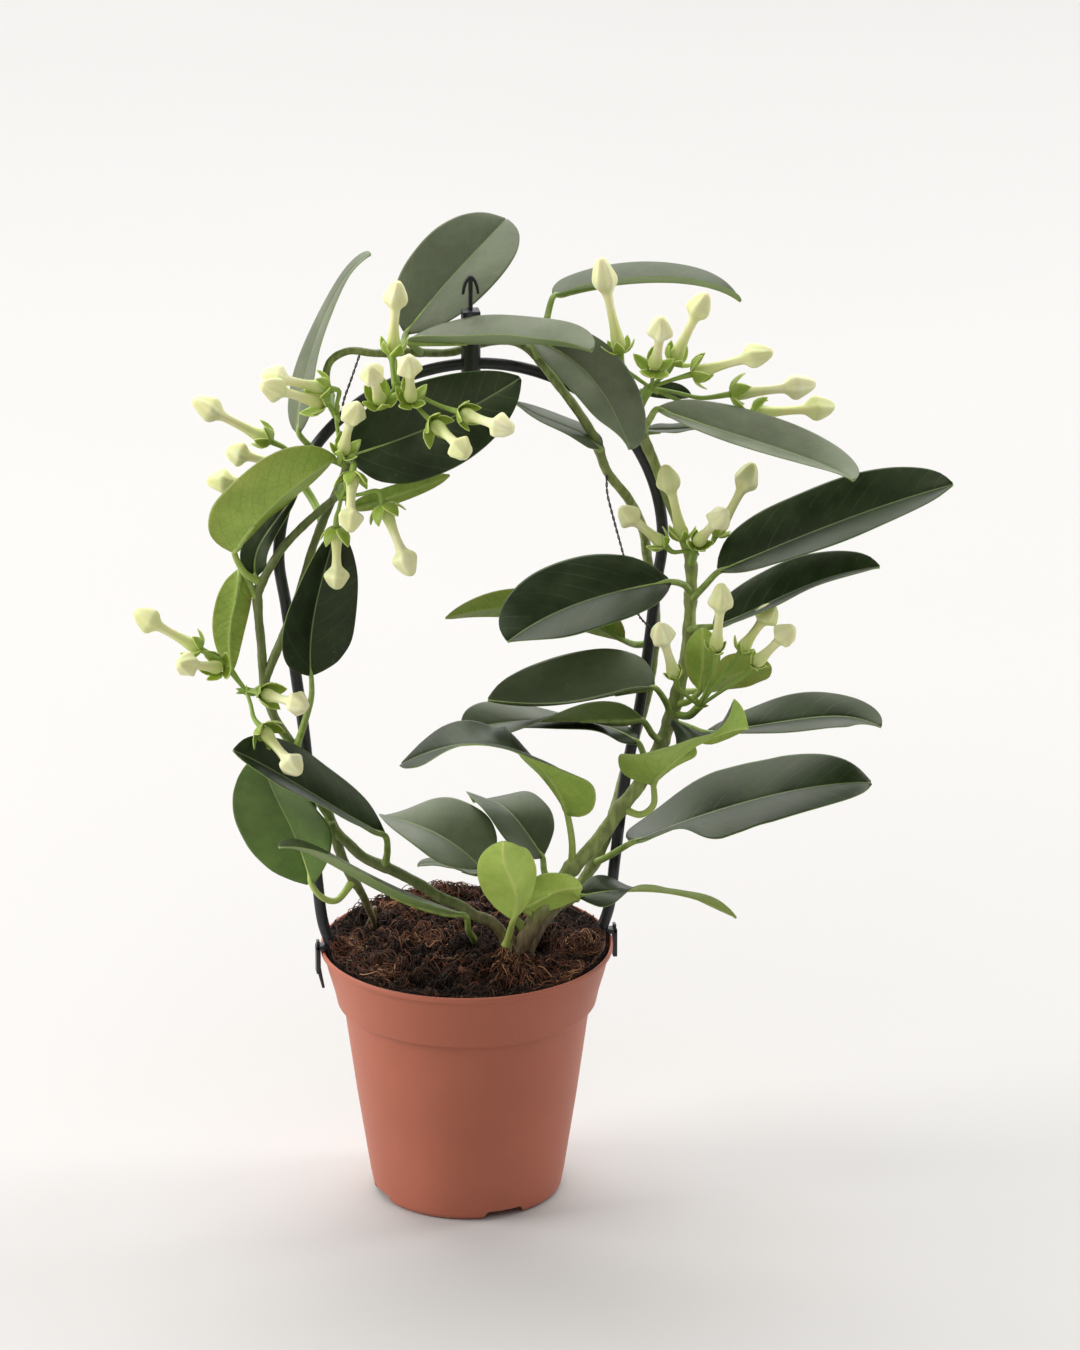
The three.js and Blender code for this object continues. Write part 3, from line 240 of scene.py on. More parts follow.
class Shape:
    """Collects quads and triangles, a material index for each face, and four numbers for each vertex."""

    def __init__(self):
        self.points, self.faces, self.slots, self.data = [], [], [], []

    def add(self, points, faces, slot=0, data=NONE):
        start = len(self.points)
        self.points += [tuple(p) for p in points]
        rows = [tuple(data)] * len(points) if np.ndim(data) == 1 else [tuple(d) for d in data]
        self.data += rows
        self.faces += [tuple(start + i for i in f) for f in faces]
        self.slots += [slot] * len(faces) if np.ndim(slot) == 0 else list(slot)

    def tube(self, path, radii, sides, slot=0, data=NONE, flat=1.0):
        """A bar along the path with rounded ends; flat squeezes it across its side direction."""
        n = len(path)
        radii = np.broadcast_to(radii, n)
        tangents = np.gradient(path, axis=0)
        side = np.array([0.0, 1.0, 0.0])
        if abs(unit(tangents[0])[1]) > 0.9:
            side = np.array([1.0, 0.0, 0.0])
        points, rows = [], []
        data = np.broadcast_to(np.asarray(data, float), (n, 4))
        for i in range(n):
            along = unit(tangents[i])
            side = unit(side - along * side.dot(along))
            other = np.cross(along, side)
            for k in range(sides):
                a = 2 * math.pi * k / sides
                points.append(path[i] + radii[i] * (flat * math.cos(a) * side + math.sin(a) * other))
                rows.append(data[i])
        faces = []
        for i in range(n - 1):
            for k in range(sides):
                m = (k + 1) % sides
                faces.append((i * sides + k, i * sides + m, (i + 1) * sides + m, (i + 1) * sides + k))
        for i, sign in ((0, -1), (n - 1, 1)):
            points.append(path[i] + sign * unit(tangents[i]) * radii[i] * 0.45)
            rows.append(data[i])
            tip = len(points) - 1
            for k in range(sides):
                a, b = i * sides + k, i * sides + (k + 1) % sides
                faces.append((a, b, tip) if sign > 0 else (b, a, tip))
        self.add(points, faces, slot, np.array(rows))

    def grid(self, rows, slot=0, data=None, closed=False):
        """A net of points, rows by columns; closed joins the last column to the first."""
        n, m = len(rows), len(rows[0])
        faces = []
        for i in range(n - 1):
            for j in range(m if closed else m - 1):
                k = (j + 1) % m
                faces.append((i * m + j, (i + 1) * m + j, (i + 1) * m + k, i * m + k))
        flat = np.array(rows).reshape(-1, 3)
        self.add(flat, faces, slot, NONE if data is None else np.array(data).reshape(-1, 4))

    def capped_grid(self, rows, data=None):
        """A closed net whose first and last rings are filled."""
        self.grid(rows, 0, data, closed=True)
        ring = tuple(range(len(rows[0])))
        for i, face in ((0, ring[::-1]), (-1, ring)):
            self.add(rows[i], [face], 0, NONE if data is None else data[i])

    def close_ends(self, rows, data, slot, flip_first=False):
        """Fills both ends of a closed net that is a top and an underside, column against column."""
        n = len(rows[0]) // 2
        cap = [(j, j + 1, 2 * n - 2 - j, 2 * n - 1 - j) for j in range(n - 1)]
        for i, flip in ((0, flip_first), (-1, False)):
            self.add(rows[i], [f[::-1] for f in cap] if flip else cap, slot, data[i])

    def make(self, name, materials, node=None, weld=0.0, angle=None):
        mesh = bpy.data.meshes.new(name)
        mesh.from_pydata(self.points, [], self.faces)
        for m in materials:
            mesh.materials.append(m)
        mesh.polygons.foreach_set("material_index", self.slots)
        mesh.polygons.foreach_set("use_smooth", [True] * len(self.faces))
        layer = mesh.attributes.new("grow", "FLOAT_COLOR", "POINT")
        layer.data.foreach_set("color", np.array(self.data, np.float32).ravel())
        mesh.validate()
        if weld:
            weld_mesh(mesh, weld)
        if angle:
            mesh.set_sharp_from_angle(angle=math.radians(angle))
        obj = placed(name, mesh)
        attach(obj, "root")
        if node:
            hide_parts(node)
        return obj


def placed(name, data):
    obj = bpy.data.objects.new(name, data)
    bpy.context.scene.collection.objects.link(obj)
    return obj


def weld_mesh(mesh, distance):
    made = bmesh.new()
    made.from_mesh(mesh)
    bmesh.ops.remove_doubles(made, verts=made.verts, dist=distance)
    bmesh.ops.recalc_face_normals(made, faces=made.faces)
    made.to_mesh(mesh)
    made.free()


def lin(r, g, b):
    """A screen colour, 0 to 255, as linear light."""
    shares = [v / 255 for v in (r, g, b)]
    return [v / 12.92 if v <= 0.04045 else ((v + 0.055) / 1.055) ** 2.4 for v in shares] + [1.0]


class Material:
    """A node material built by short calls: each returns a socket. Colours are screen colours, 0 to 255."""

    def __init__(self, name, **fixed):
        self.m = bpy.data.materials.new(name)
        self.m.use_nodes = True
        self.tree = self.m.node_tree
        self.out = self.tree.nodes["Principled BSDF"]
        for key, value in fixed.items():
            self.out.inputs[key.replace("_", " ")].default_value = value

    def node(self, kind, ins=(), **props):
        n = self.tree.nodes.new(kind)
        for key, value in props.items():
            setattr(n, key, value)
        for key, value in dict(ins).items():
            if isinstance(value, bpy.types.NodeSocket):
                self.tree.links.new(value, n.inputs[key])
            else:
                n.inputs[key].default_value = value
        return n

    def grow(self):
        n = self.node("ShaderNodeAttribute", attribute_name="grow")
        parts = self.node("ShaderNodeSeparateColor", {0: n.outputs["Color"]})
        return [*parts.outputs, n.outputs["Alpha"]]

    def place(self):
        return self.node("ShaderNodeTexCoord").outputs["Object"]

    def math(self, op, a, b=0.0):
        return self.node("ShaderNodeMath", {0: a, 1: b}, operation=op).outputs[0]

    def times(self, a, b):
        return self.math("MULTIPLY", a, b)

    def step(self, x, low, high, to_low=0.0, to_high=1.0):
        ins = {0: x, 1: low, 2: high, 3: to_low, 4: to_high}
        return self.node("ShaderNodeMapRange", ins, interpolation_type="SMOOTHSTEP").outputs[0]

    def noise(self, scale, detail=3.0, rough=0.5, where=None):
        ins = {"Vector": self.place() if where is None else where, "Scale": scale, "Detail": detail,
               "Roughness": rough}
        return self.node("ShaderNodeTexNoise", ins).outputs[0]

    def cells(self, scale):
        ins = {"Vector": self.place(), "Scale": scale}
        return self.node("ShaderNodeTexVoronoi", ins, feature="DISTANCE_TO_EDGE").outputs[0]

    def mix(self, share, a, b):
        colours = {i: lin(*v) if isinstance(v, tuple) else v for i, v in ((6, a), (7, b))}
        n = self.node("ShaderNodeMix", data_type="RGBA", clamp_factor=True)
        for index, value in {0: share, **colours}.items():
            if isinstance(value, bpy.types.NodeSocket):
                self.tree.links.new(value, n.inputs[index])
            else:
                n.inputs[index].default_value = value
        return n.outputs[2]

    def put(self, name, socket):
        self.tree.links.new(socket, self.out.inputs[name])

    def done(self, base, height=None, depth=0.0, strength=1.0):
        """The finished material, with its colour and its relief."""
        self.put("Base Color", base)
        if height is not None:
            n = self.node("ShaderNodeBump", {"Height": height, "Distance": depth, "Strength": strength})
            self.put("Normal", n.outputs[0])
        return self.m


def vein_lines(m, across, along, spacing, width, lean):
    """Side veins that leave the midrib and bow towards the tip, as a 0 to 1 line; lengths in millimetres."""
    away = m.math("ABSOLUTE", across)
    bow = m.times(m.math("POWER", away, 1.25), lean)
    wobble = m.times(m.noise(90.0, 2.0), 2.4)
    phase = m.math("DIVIDE", m.math("ADD", m.math("SUBTRACT", along, bow), wobble), spacing)
    gap = m.math("ABSOLUTE", m.math("SUBTRACT", m.math("FRACT", phase), 0.5))
    return m.step(gap, width, 0.0)


def leaf_top():
    m = Material("leaf_top", Roughness=0.42, Specular_IOR_Level=0.34, Specular_Tint=(0.96, 1.0, 0.7, 1.0))
    across, along, edge, tone = m.grow()
    young = m.math("MAXIMUM", m.times(m.math("SUBTRACT", tone, 0.5), 2.0), 0.0)
    # Leaves whose tone is below 0 are greyed in patches towards (150, 158, 130): partly dust bloom and partly
    # painted sheen, the light's grey reflection painted into the colour.
    dusty = m.math("MAXIMUM", m.times(tone, -1.0), 0.0)
    mottle = m.noise(70.0, 5.0, 0.6)
    fine = m.noise(420.0, 4.0, 0.6)
    dark = m.mix(m.step(mottle, 0.35, 0.7), (25, 38, 18), (40, 55, 29))
    light = m.mix(m.step(mottle, 0.35, 0.7), (92, 124, 50), (110, 144, 62))
    base = m.mix(young, dark, light)
    patchy = m.step(m.noise(38.0, 5.0, 0.7), 0.25, 0.75, 0.72, 1.25)
    base = m.mix(m.times(dusty, patchy), base, (150, 158, 130))
    veins = vein_lines(m, across, along, 9.0, 0.07, 0.6)
    faint = m.step(m.noise(55.0, 2.0), 0.35, 0.65, 0.02, 0.14)
    base = m.mix(m.times(veins, faint), base, (112, 132, 88))
    rib = m.step(m.math("ABSOLUTE", across), 0.5, 0.15)
    base = m.mix(m.times(rib, 0.65), base, (134, 150, 100))
    chalk = m.times(m.step(fine, 0.62, 0.8), m.step(m.noise(25.0, 2.0), 0.5, 0.68))
    base = m.mix(m.times(chalk, 0.3), base, (140, 152, 126))
    base = m.mix(m.times(m.step(edge, 0.965, 1.0), 0.45), base, (110, 138, 74))
    m.put("Roughness", m.step(mottle, 0.2, 0.8, 0.34, 0.46))
    height = m.math("ADD", m.times(veins, -0.2), m.times(fine, 0.3))
    return m.done(base, height, 0.0003, 0.35)


def leaf_under():
    m = Material("leaf_under", Roughness=0.55, Specular_IOR_Level=0.3, Subsurface_Weight=0.12,
                 Subsurface_Scale=0.002)
    across, along, edge, tone = m.grow()
    # The underside of a leaf whose tone is below 0 is greyed towards (112, 130, 88): partly dust and partly
    # painted sheen.
    under_dust_and_sheen = m.math("MAXIMUM", m.times(tone, -2.0), 0.0)
    tone = m.math("MAXIMUM", tone, 0.0)
    mottle = m.noise(60.0, 4.0, 0.6)
    pale = m.mix(m.step(mottle, 0.3, 0.7), (124, 150, 60), (146, 170, 76))
    fresh = m.mix(m.step(mottle, 0.3, 0.7), (164, 196, 86), (186, 214, 104))
    base = m.mix(tone, pale, fresh)
    net = m.step(m.cells(300.0), 0.09, 0.0)
    side = vein_lines(m, across, along, 6.5, 0.07, 0.5)
    grown = m.math("SUBTRACT", 1.0, m.times(tone, 0.8))
    base = m.mix(m.times(m.times(net, grown), 0.22), base, (84, 112, 42))
    base = m.mix(m.times(m.times(side, grown), 0.4), base, (96, 126, 50))
    rib = m.step(m.math("ABSOLUTE", across), 0.9, 0.3)
    base = m.mix(m.times(rib, 0.7), base, m.mix(tone, (160, 178, 96), (208, 220, 132)))
    base = m.mix(under_dust_and_sheen, base, (112, 130, 88))
    base = m.mix(m.times(m.step(edge, 0.95, 1.0), 0.5), base, (190, 208, 130))
    return m.done(base, m.times(m.math("ADD", net, side), -0.5), 0.0003, 0.4)


def plain_skin(name, scale, dark, light, **fixed):
    """Two colours mixed by one noise."""
    m = Material(name, **fixed)
    return m.done(m.mix(m.noise(scale), dark, light))


def stalk():
    m = Material("leaf_stalk", Roughness=0.5)
    young = m.math("MAXIMUM", m.grow()[2], 0.0)
    streak = m.noise(300.0, 3.0, 0.6)
    base = m.mix(m.step(streak, 0.3, 0.7), (122, 144, 62), (152, 172, 88))
    return m.done(m.mix(young, base, (186, 204, 106)), streak, 0.0002, 0.3)


def stem_skin():
    m = Material("stem_skin", Roughness=0.55)
    _, joint, woody, dark = m.grow()
    where = m.node("ShaderNodeMapping", {0: m.place(), 3: (1.0, 1.0, 0.25)}).outputs[0]
    streak = m.noise(420.0, 4.0, 0.65, where)
    mottle = m.noise(110.0, 4.0, 0.6)
    green = m.mix(m.step(streak, 0.3, 0.7), (108, 122, 58), (156, 168, 96))
    green = m.mix(m.times(dark, 0.6), green, (62, 72, 40))
    green = m.mix(m.times(m.step(mottle, 0.52, 0.72), 0.45), green, (96, 86, 58))
    bark = m.mix(m.step(streak, 0.3, 0.7), (84, 68, 48), (146, 126, 96))
    base = m.mix(woody, green, bark)
    base = m.mix(m.times(joint, 0.5), base, (112, 116, 68))
    return m.done(base, streak, 0.0006, 0.5)


def bud_skin():
    m = Material("bud_skin", Roughness=0.48, Subsurface_Weight=0.25, Subsurface_Scale=0.004)
    along, lobe, head, tone = m.grow()
    soft = m.noise(130.0, 3.0, 0.5)
    cream = m.mix(m.step(soft, 0.3, 0.7), (230, 230, 176), (240, 240, 200))
    green = m.mix(m.step(soft, 0.3, 0.7), (190, 204, 120), (208, 216, 142))
    base = m.mix(m.step(along, 0.62, 0.1), cream, green)
    base = m.mix(m.times(m.times(lobe, head), 0.4), base, (206, 206, 130))
    base = m.mix(m.times(tone, 0.6), base, (206, 216, 134))
    return m.done(base, m.noise(600.0, 3.0), 0.0002, 0.2)


def sepal_skin():
    m = Material("sepal_skin", Roughness=0.5)
    _, edge, rib, _ = m.grow()
    base = m.mix(m.noise(300.0, 3.0), (122, 150, 36), (158, 180, 62))
    base = m.mix(m.times(rib, 0.4), base, (78, 108, 26))
    base = m.mix(m.step(edge, 0.75, 1.0), base, (194, 210, 118))
    return m.done(base, m.noise(500.0, 3.0), 0.0002, 0.3)


def pedicel_skin():
    m = Material("pedicel_skin", Roughness=0.5)
    base = m.mix(m.noise(220.0, 3.0), (112, 142, 42), (152, 176, 78))
    return m.done(base, m.noise(700.0, 3.0), 0.0002, 0.3)


def pot_plastic():
    m = Material("pot_plastic", Roughness=0.46, Specular_IOR_Level=0.3)
    broad = m.noise(14.0, 3.0, 0.5)
    fine = m.noise(900.0, 3.0, 0.6)
    base = m.mix(m.step(broad, 0.3, 0.7), (168, 96, 74), (178, 104, 82))
    base = m.mix(m.times(m.step(fine, 0.5, 0.9), 0.2), base, (190, 122, 100))
    scuff = m.times(m.step(m.noise(60.0, 6.0, 0.75), 0.62, 0.8), 0.3)
    base = m.mix(scuff, base, (184, 124, 104))
    m.put("Roughness", m.step(broad, 0.2, 0.8, 0.42, 0.52))
    return m.done(base, fine, 0.0002, 0.18)


def hoop_plastic():
    m = Material("hoop_plastic", Roughness=0.4)
    fine = m.noise(500.0, 3.0, 0.6)
    base = m.mix(m.step(fine, 0.3, 0.8), (22, 23, 27), (38, 40, 45))
    dusty = m.times(m.step(m.noise(80.0, 5.0, 0.7), 0.55, 0.8), 0.35)
    m.put("Roughness", m.step(fine, 0.2, 0.8, 0.34, 0.52))
    return m.done(m.mix(dusty, base, (84, 84, 82)), fine, 0.0002, 0.25)


def soil_skin():
    m = Material("soil_skin", Roughness=0.95, Specular_IOR_Level=0.2)
    # Painted shade: where the net's lightness is low, in hollows and between clods, the soil is mixed towards
    # the near-black (6, 4, 3).
    light = m.grow()[0]
    clod = m.noise(160.0, 6.0, 0.7)
    base = m.mix(m.step(clod, 0.35, 0.7), (16, 10, 7), (56, 36, 25))
    return m.done(m.mix(light, (6, 4, 3), base), m.noise(700.0, 5.0, 0.7), 0.0012, 0.9)


def fibre_skin():
    m = Material("fibre_skin", Roughness=0.75, Specular_IOR_Level=0.3)
    tone = m.grow()[3]
    base = m.mix(m.step(tone, 0.1, 0.6), (20, 12, 9), (112, 68, 46))
    base = m.mix(m.step(tone, 0.65, 1.0), base, (196, 148, 108))
    return m.done(m.mix(m.times(m.noise(900.0), 0.3), base, (60, 36, 24)))


def floor_skin():
    m = Material("floor_skin", Roughness=0.9, Specular_IOR_Level=0.1)
    return m.done(m.mix(m.noise(2.0, 2.0), (196, 194, 192), (200, 198, 196)))


def bezier(p, t):
    u = 1 - t
    return u ** 3 * p[0] + 3 * u * u * t * p[1] + 3 * u * t * t * p[2] + t ** 3 * p[3]


def bezier_slope(p, t):
    u = 1 - t
    return unit(u * u * (p[1] - p[0]) + 2 * u * t * (p[2] - p[1]) + t * t * (p[3] - p[2]))


# Half the width of a blade along its midrib, as shares of the leaf's half width.
OUTLINE = [(0, 0.1), (0.05, 0.42), (0.14, 0.74), (0.3, 0.96), (0.45, 1), (0.6, 0.97), (0.75, 0.84),
           (0.87, 0.62), (0.95, 0.36), (1, 0.06)]
OUTLINE_CURVE = smooth([(t, w, 0) for t, w in OUTLINE], 0.01)
CURL = 0.1
COLUMNS = [0, 0.03, 0.07, 0.14, 0.26, 0.42, 0.6, 0.76, 0.88, 0.95, 1.0]
COLUMNS = [-k for k in reversed(COLUMNS[1:])] + COLUMNS
STATIONS = 40
# In millimetres: the blade's half thickness at its edge and what its middle adds, then the depth and the half
# width of the groove along its top and of the rib under it.
BLADE_EDGE, BLADE_BODY = 0.16, 0.2
GROOVE, GROOVE_HALF = 0.28, 0.6
RIB, RIB_HALF = 0.85, 1.0
STALK_THICK = 1.5


def blade(shape, spec, tone, seed):
    """A leaf's blade: the table's curve, facing and fold, with a rib, a groove and a wavy edge."""
    _, stalk_points, *midrib, width, fold = spec[:7]
    p = [at(q) for q in (stalk_points[-1], *midrib)]
    faces = np.array([turned(f) for f in spec[7:]])
    places = np.linspace(0, 1, len(faces))
    rng = random.Random(seed)
    phase, waves, sway = rng.uniform(0, ANY_TURN), rng.uniform(1.4, 2.4), rng.uniform(0.1, 0.4)
    rows, data = [], []
    length = 0.0
    before = p[0]
    for i in range(STATIONS + 1):
        t = (i / STATIONS) ** 0.95
        middle, along = bezier(p, t), bezier_slope(p, t)
        length += np.linalg.norm(middle - before) / MM
        before = middle
        eased = t if len(faces) == 2 else t - 0.11 * math.sin(4 * math.pi * t)
        up = np.array([np.interp(eased, places, faces[:, k]) for k in range(3)])
        up = unit(up - along * up.dot(along))
        side = np.cross(up, along)
        half = max(width / 2 * np.interp(t, OUTLINE_CURVE[:, 0], OUTLINE_CURVE[:, 1]), 0.5)
        top, under, cells = [], [], []
        for k in COLUMNS:
            far = abs(k)
            lift = half * (fold * (math.sqrt(k * k + 0.0016) - 0.04) - CURL * k * k)
            wave = math.sin(phase + t * ANY_TURN * waves + (1.6 if k > 0 else 0))
            lift += sway * far ** 3 * wave * min(1, half / 8)
            across = half * k
            reach = across * math.cos(fold)
            groove = -GROOVE * math.exp(-(across / GROOVE_HALF) ** 2)
            rib = (RIB - 0.6 * t) * math.exp(-(across / (RIB_HALF - 0.45 * t)) ** 2)
            thick = BLADE_EDGE + BLADE_BODY * (1 - far ** 3)
            base = middle + side * reach * MM
            top.append(base + up * (lift + thick + groove) * MM)
            under.append(base + up * (lift - thick - rib) * MM)
            cells.append((across, length, far, tone))
        rows.append(top + under[::-1])
        data.append(cells + cells[::-1])
    n = len(COLUMNS)
    slots = [0] * (n - 1) + [2] + [1] * (n - 1) + [2]
    shape.grid(rows, slots * STATIONS, data, closed=True)
    shape.close_ends(rows, data, 2)
    return p, faces[0]


def leaf_piece(name, spec, tone, seed):
    """A leaf's blade, and its stalk, which runs on under the blade into the midrib."""
    shape = Shape()
    p, face = blade(shape, spec, tone, seed)
    runs = [at(q) for q in spec[1]]
    for t in (0.05, 0.12, 0.2, 0.3):
        along = bezier_slope(p, t)
        up = unit(face - along * face.dot(along))
        runs.append(bezier(p, t) - up * 0.75 * MM)
    path = smooth(runs, 1.2 * MM)
    share = np.linspace(0, 1, len(path))
    radii = STALK_THICK * (1 - 0.5 * share ** 1.4) + 0.5 * np.exp(-(share / 0.06) ** 2)
    shape.tube(path, radii * MM, 10, 3, (0, 0, tone, 0))
    shape.make(name + "_look", LEAF_SET, name, weld=1e-6)


def stem_piece(name, runs, joints, bark, dark):
    """One stem with all its runs, thicker where a leaf or a cluster leaves it, and woody near the soil."""
    shape = Shape()
    for radius, points in runs:
        path = smooth([at(q) for q in points], 1.5 * MM)
        share = np.linspace(0, 1, len(path))
        radii = (radius[0] + (radius[1] - radius[0]) * share) * MM
        near = np.zeros(len(path))
        for joint in joints:
            gap = np.linalg.norm(path - joint, axis=1)
            if gap.min() < 3.0 * MM:
                near = np.maximum(near, np.exp(-(gap / (2.6 * MM)) ** 2))
        radii = radii * (1 + 0.22 * near)
        step = np.arange(len(path))
        radii = radii * (1 + 0.03 * np.sin(step * 0.9) + 0.02 * np.sin(step * 2.3))
        woody = bark * np.clip((0.132 - path[:, 2]) / 0.014, 0, 1)
        rows = np.column_stack([share, near, woody, share * 0 + dark])
        shape.tube(path, radii, 16, 0, rows)
    shape.make(name + "_look", [stem_skin()], name)


# A bud's outline from its foot to its tip: share of the length, and radius in millimetres.
BUD_OUTLINE = [(0, 1.5), (0.02, 2.2), (0.07, 2.75), (0.14, 2.75), (0.24, 2.2), (0.36, 1.85), (0.5, 1.8),
               (0.6, 2.1), (0.65, 3.0), (0.69, 4.2), (0.735, 5.0), (0.77, 5.1), (0.84, 4.35), (0.9, 3.45),
               (0.95, 2.5), (0.985, 1.5), (1, 0.4)]
BUD_SIDES = 30
FIFTH = 0.4 * math.pi
# A sepal from its foot to its tip, in millimetres: how far out and up along the bud, and half its width.
SEPAL_RISE = [(1.5, -0.7), (2.6, -0.5), (4.2, 0.5), (5.6, 2.2), (6.5, 4.2), (6.9, 5.9)]
SEPAL_HALF = [1.3, 2.3, 2.8, 2.4, 1.4, 0.15]


def bud(shape, joint, foot, tip, rng, crown):
    """A bud with a five-sided head, its five sepals, crown times their size, and its own thin stalk."""
    along = tip - foot
    size = np.linalg.norm(along)
    axis = along / size
    hint = unit(np.cross(turned((0.3, 1, 0.2)), axis))
    other = np.cross(axis, hint)
    turn = rng.uniform(0, ANY_TURN)
    green = rng.random()
    lean = rng.uniform(-1, 1) * 0.8 * MM
    rows, data = [], []
    for share, radius in smooth([(a, b / 10, 0) for a, b in BUD_OUTLINE], 0.02)[:, :2]:
        head = float(np.clip((share - 0.58) / 0.12, 0, 1) * np.clip((1.02 - share) / 0.1, 0, 1))
        centre = foot + along * share + hint * lean * math.sin(share * 3.14)
        ring, cells = [], []
        for k in range(BUD_SIDES):
            a = 2 * math.pi * k / BUD_SIDES
            lobe = math.cos(5 * (a - share * 0.9))
            flat = 0.81 / math.cos(((a - share * 0.9) / FIFTH) % 1 * FIFTH - FIFTH / 2)
            r = radius * 10 * MM * (1 + 0.03 * lobe - head * 0.85 * (0.93 - flat))
            ring.append(centre + r * (math.cos(a + turn) * hint + math.sin(a + turn) * other))
            cells.append((share, max(0, -lobe) ** 4, head, green))
        rows.append(ring)
        data.append(cells)
    shape.capped_grid(rows, data)
    for i in range(5):
        sepal(shape, foot, axis, hint, other, turn + 2 * math.pi * (i + rng.uniform(-0.1, 0.1)) / 5,
              crown * rng.uniform(0.85, 1.12), rng.uniform(-0.25, 0.35))
    back = foot - axis * np.linalg.norm(foot - joint) * 0.35
    path = smooth([joint, joint * 0.5 + back * 0.5 + hint * 0.3 * MM, back, foot - axis * 0.5 * MM], 1.2 * MM)
    share = np.linspace(0, 1, len(path))
    shape.tube(path, (0.8 + 0.6 * share ** 3) * MM, 8, 2)


def sepal(shape, foot, axis, hint, other, angle, size, spread):
    """One cupped sepal at a bud's foot, at an angle round it and spread outwards by another."""
    out = math.cos(angle) * hint + math.sin(angle) * other
    side = np.cross(axis, out)
    rows, data = [], []
    c, s = math.cos(spread), math.sin(spread)
    for i, ((far, rise), half) in enumerate(zip(SEPAL_RISE, SEPAL_HALF)):
        share = i / (len(SEPAL_RISE) - 1)
        far, rise = 1.5 + (far - 1.5) * c + (rise + 0.7) * s, -0.7 + (rise + 0.7) * c - (far - 1.5) * s
        centre = foot + (out * far + axis * rise) * size * MM
        slope = unit(out * (0.35 + 0.3 * s) + axis * 0.9 * share + out * (1 - share))
        normal = unit(np.cross(side, slope))
        top, under, cells = [], [], []
        for k in (-1, -0.6, -0.2, 0.2, 0.6, 1):
            cup = 0.5 * k * k * half * 0.4
            point = centre + side * half * k * size * MM - normal * cup * MM
            top.append(point - normal * 0.2 * MM)
            under.append(point + normal * 0.2 * MM)
            cells.append((share, abs(k) if share < 0.95 else 1, 1 - min(1, abs(k) * 3), 0))
        rows.append(top + under[::-1])
        data.append(cells + cells[::-1])
    shape.grid(rows, 1, data, closed=True)
    shape.close_ends(rows, data, 1, flip_first=True)


def spray_piece(name, spec, crown, seed):
    """A cluster of buds on one stalk, with a few bracts where their stalks meet."""
    shape = Shape()
    rng = random.Random(seed)
    path = smooth([at(q) for q in spec[1]], 1.2 * MM)
    shape.tube(path, np.linspace(1.5, 1.8, len(path)) * MM, 10, 2)
    joint = path[-1]
    for foot, tip in spec[2]:
        bud(shape, joint, at(foot), at(tip), rng, crown)
    for i in range(5):
        out = unit(np.array([rng.uniform(-1, 1) for _ in range(3)]))
        path = np.array([joint + out * d * MM for d in (0, 1.5, 3.0, 4.2)])
        shape.tube(path, np.array([0.9, 1.0, 0.7, 0.2]) * MM, 6, 2, flat=0.5)
    shape.make(name + "_look", BUD_SET, name, weld=1e-7)


def arc(cx, cz, r, a0, a1, count):
    """Points on a round from one angle to another, in degrees."""
    turns = [math.radians(a0 + (a1 - a0) * i / count) for i in range(count + 1)]
    return [(cx + r * math.cos(a), cz + r * math.sin(a)) for a in turns]


# The pot's section, radius and height in millimetres: underside, foot, body, band, lip, inside, floor.
POT_SECTION = [
    (0.01, 0), (13.6, 0), (14.4, 0.5), (15, 3), (31, 3), (31.6, 0.6), (32.4, 0),
    *arc(35.8, 3.4, 3.4, -90, -8, 8), (40.3, 9), (45.6, 44), (50.5, 80.6), (50.9, 82.6),
    *arc(51.8, 82.9, 0.7, 180, 100, 3), *arc(52.7, 84.2, 0.75, -90, 0, 4), (54.7, 90), (57, 98),
    (58.6, 104.6), (58.9, 105.4), *arc(59.35, 106.1, 0.65, -70, 0, 4), *arc(59.3, 107.2, 0.75, 0, 100, 5),
    (58.9, 107.6), (58.5, 106.6), (56, 98), (52.1, 84.9), (51, 83.2), (49.6, 82.5), (44, 42), (38.5, 6),
    (37.5, 5), (0.01, 5),
]
POT_AROUND = 180
# The notches of the foot: where they are, in degrees, their outline, and how far in and out they are cut.
NOTCH_AT = (-75, 15, 105, 195)
NOTCH = ((-10.4, -2), (10.4, -2), (7.9, 3), (7.0, 3.8), (-7.0, 3.8), (-7.9, 3))
NOTCH_REACH = (30.2, 44)
HOLES, HOLE_AT, HOLE_R = 6, 23, 4.2


def dense(section, step):
    """A section with points at most one step apart."""
    out = []
    for a, b in zip(section, section[1:]):
        n = max(1, math.ceil(math.hypot(b[0] - a[0], b[1] - a[1]) / step))
        out += [(a[0] + (b[0] - a[0]) * i / n, a[1] + (b[1] - a[1]) * i / n) for i in range(n)]
    return out + [section[-1]]


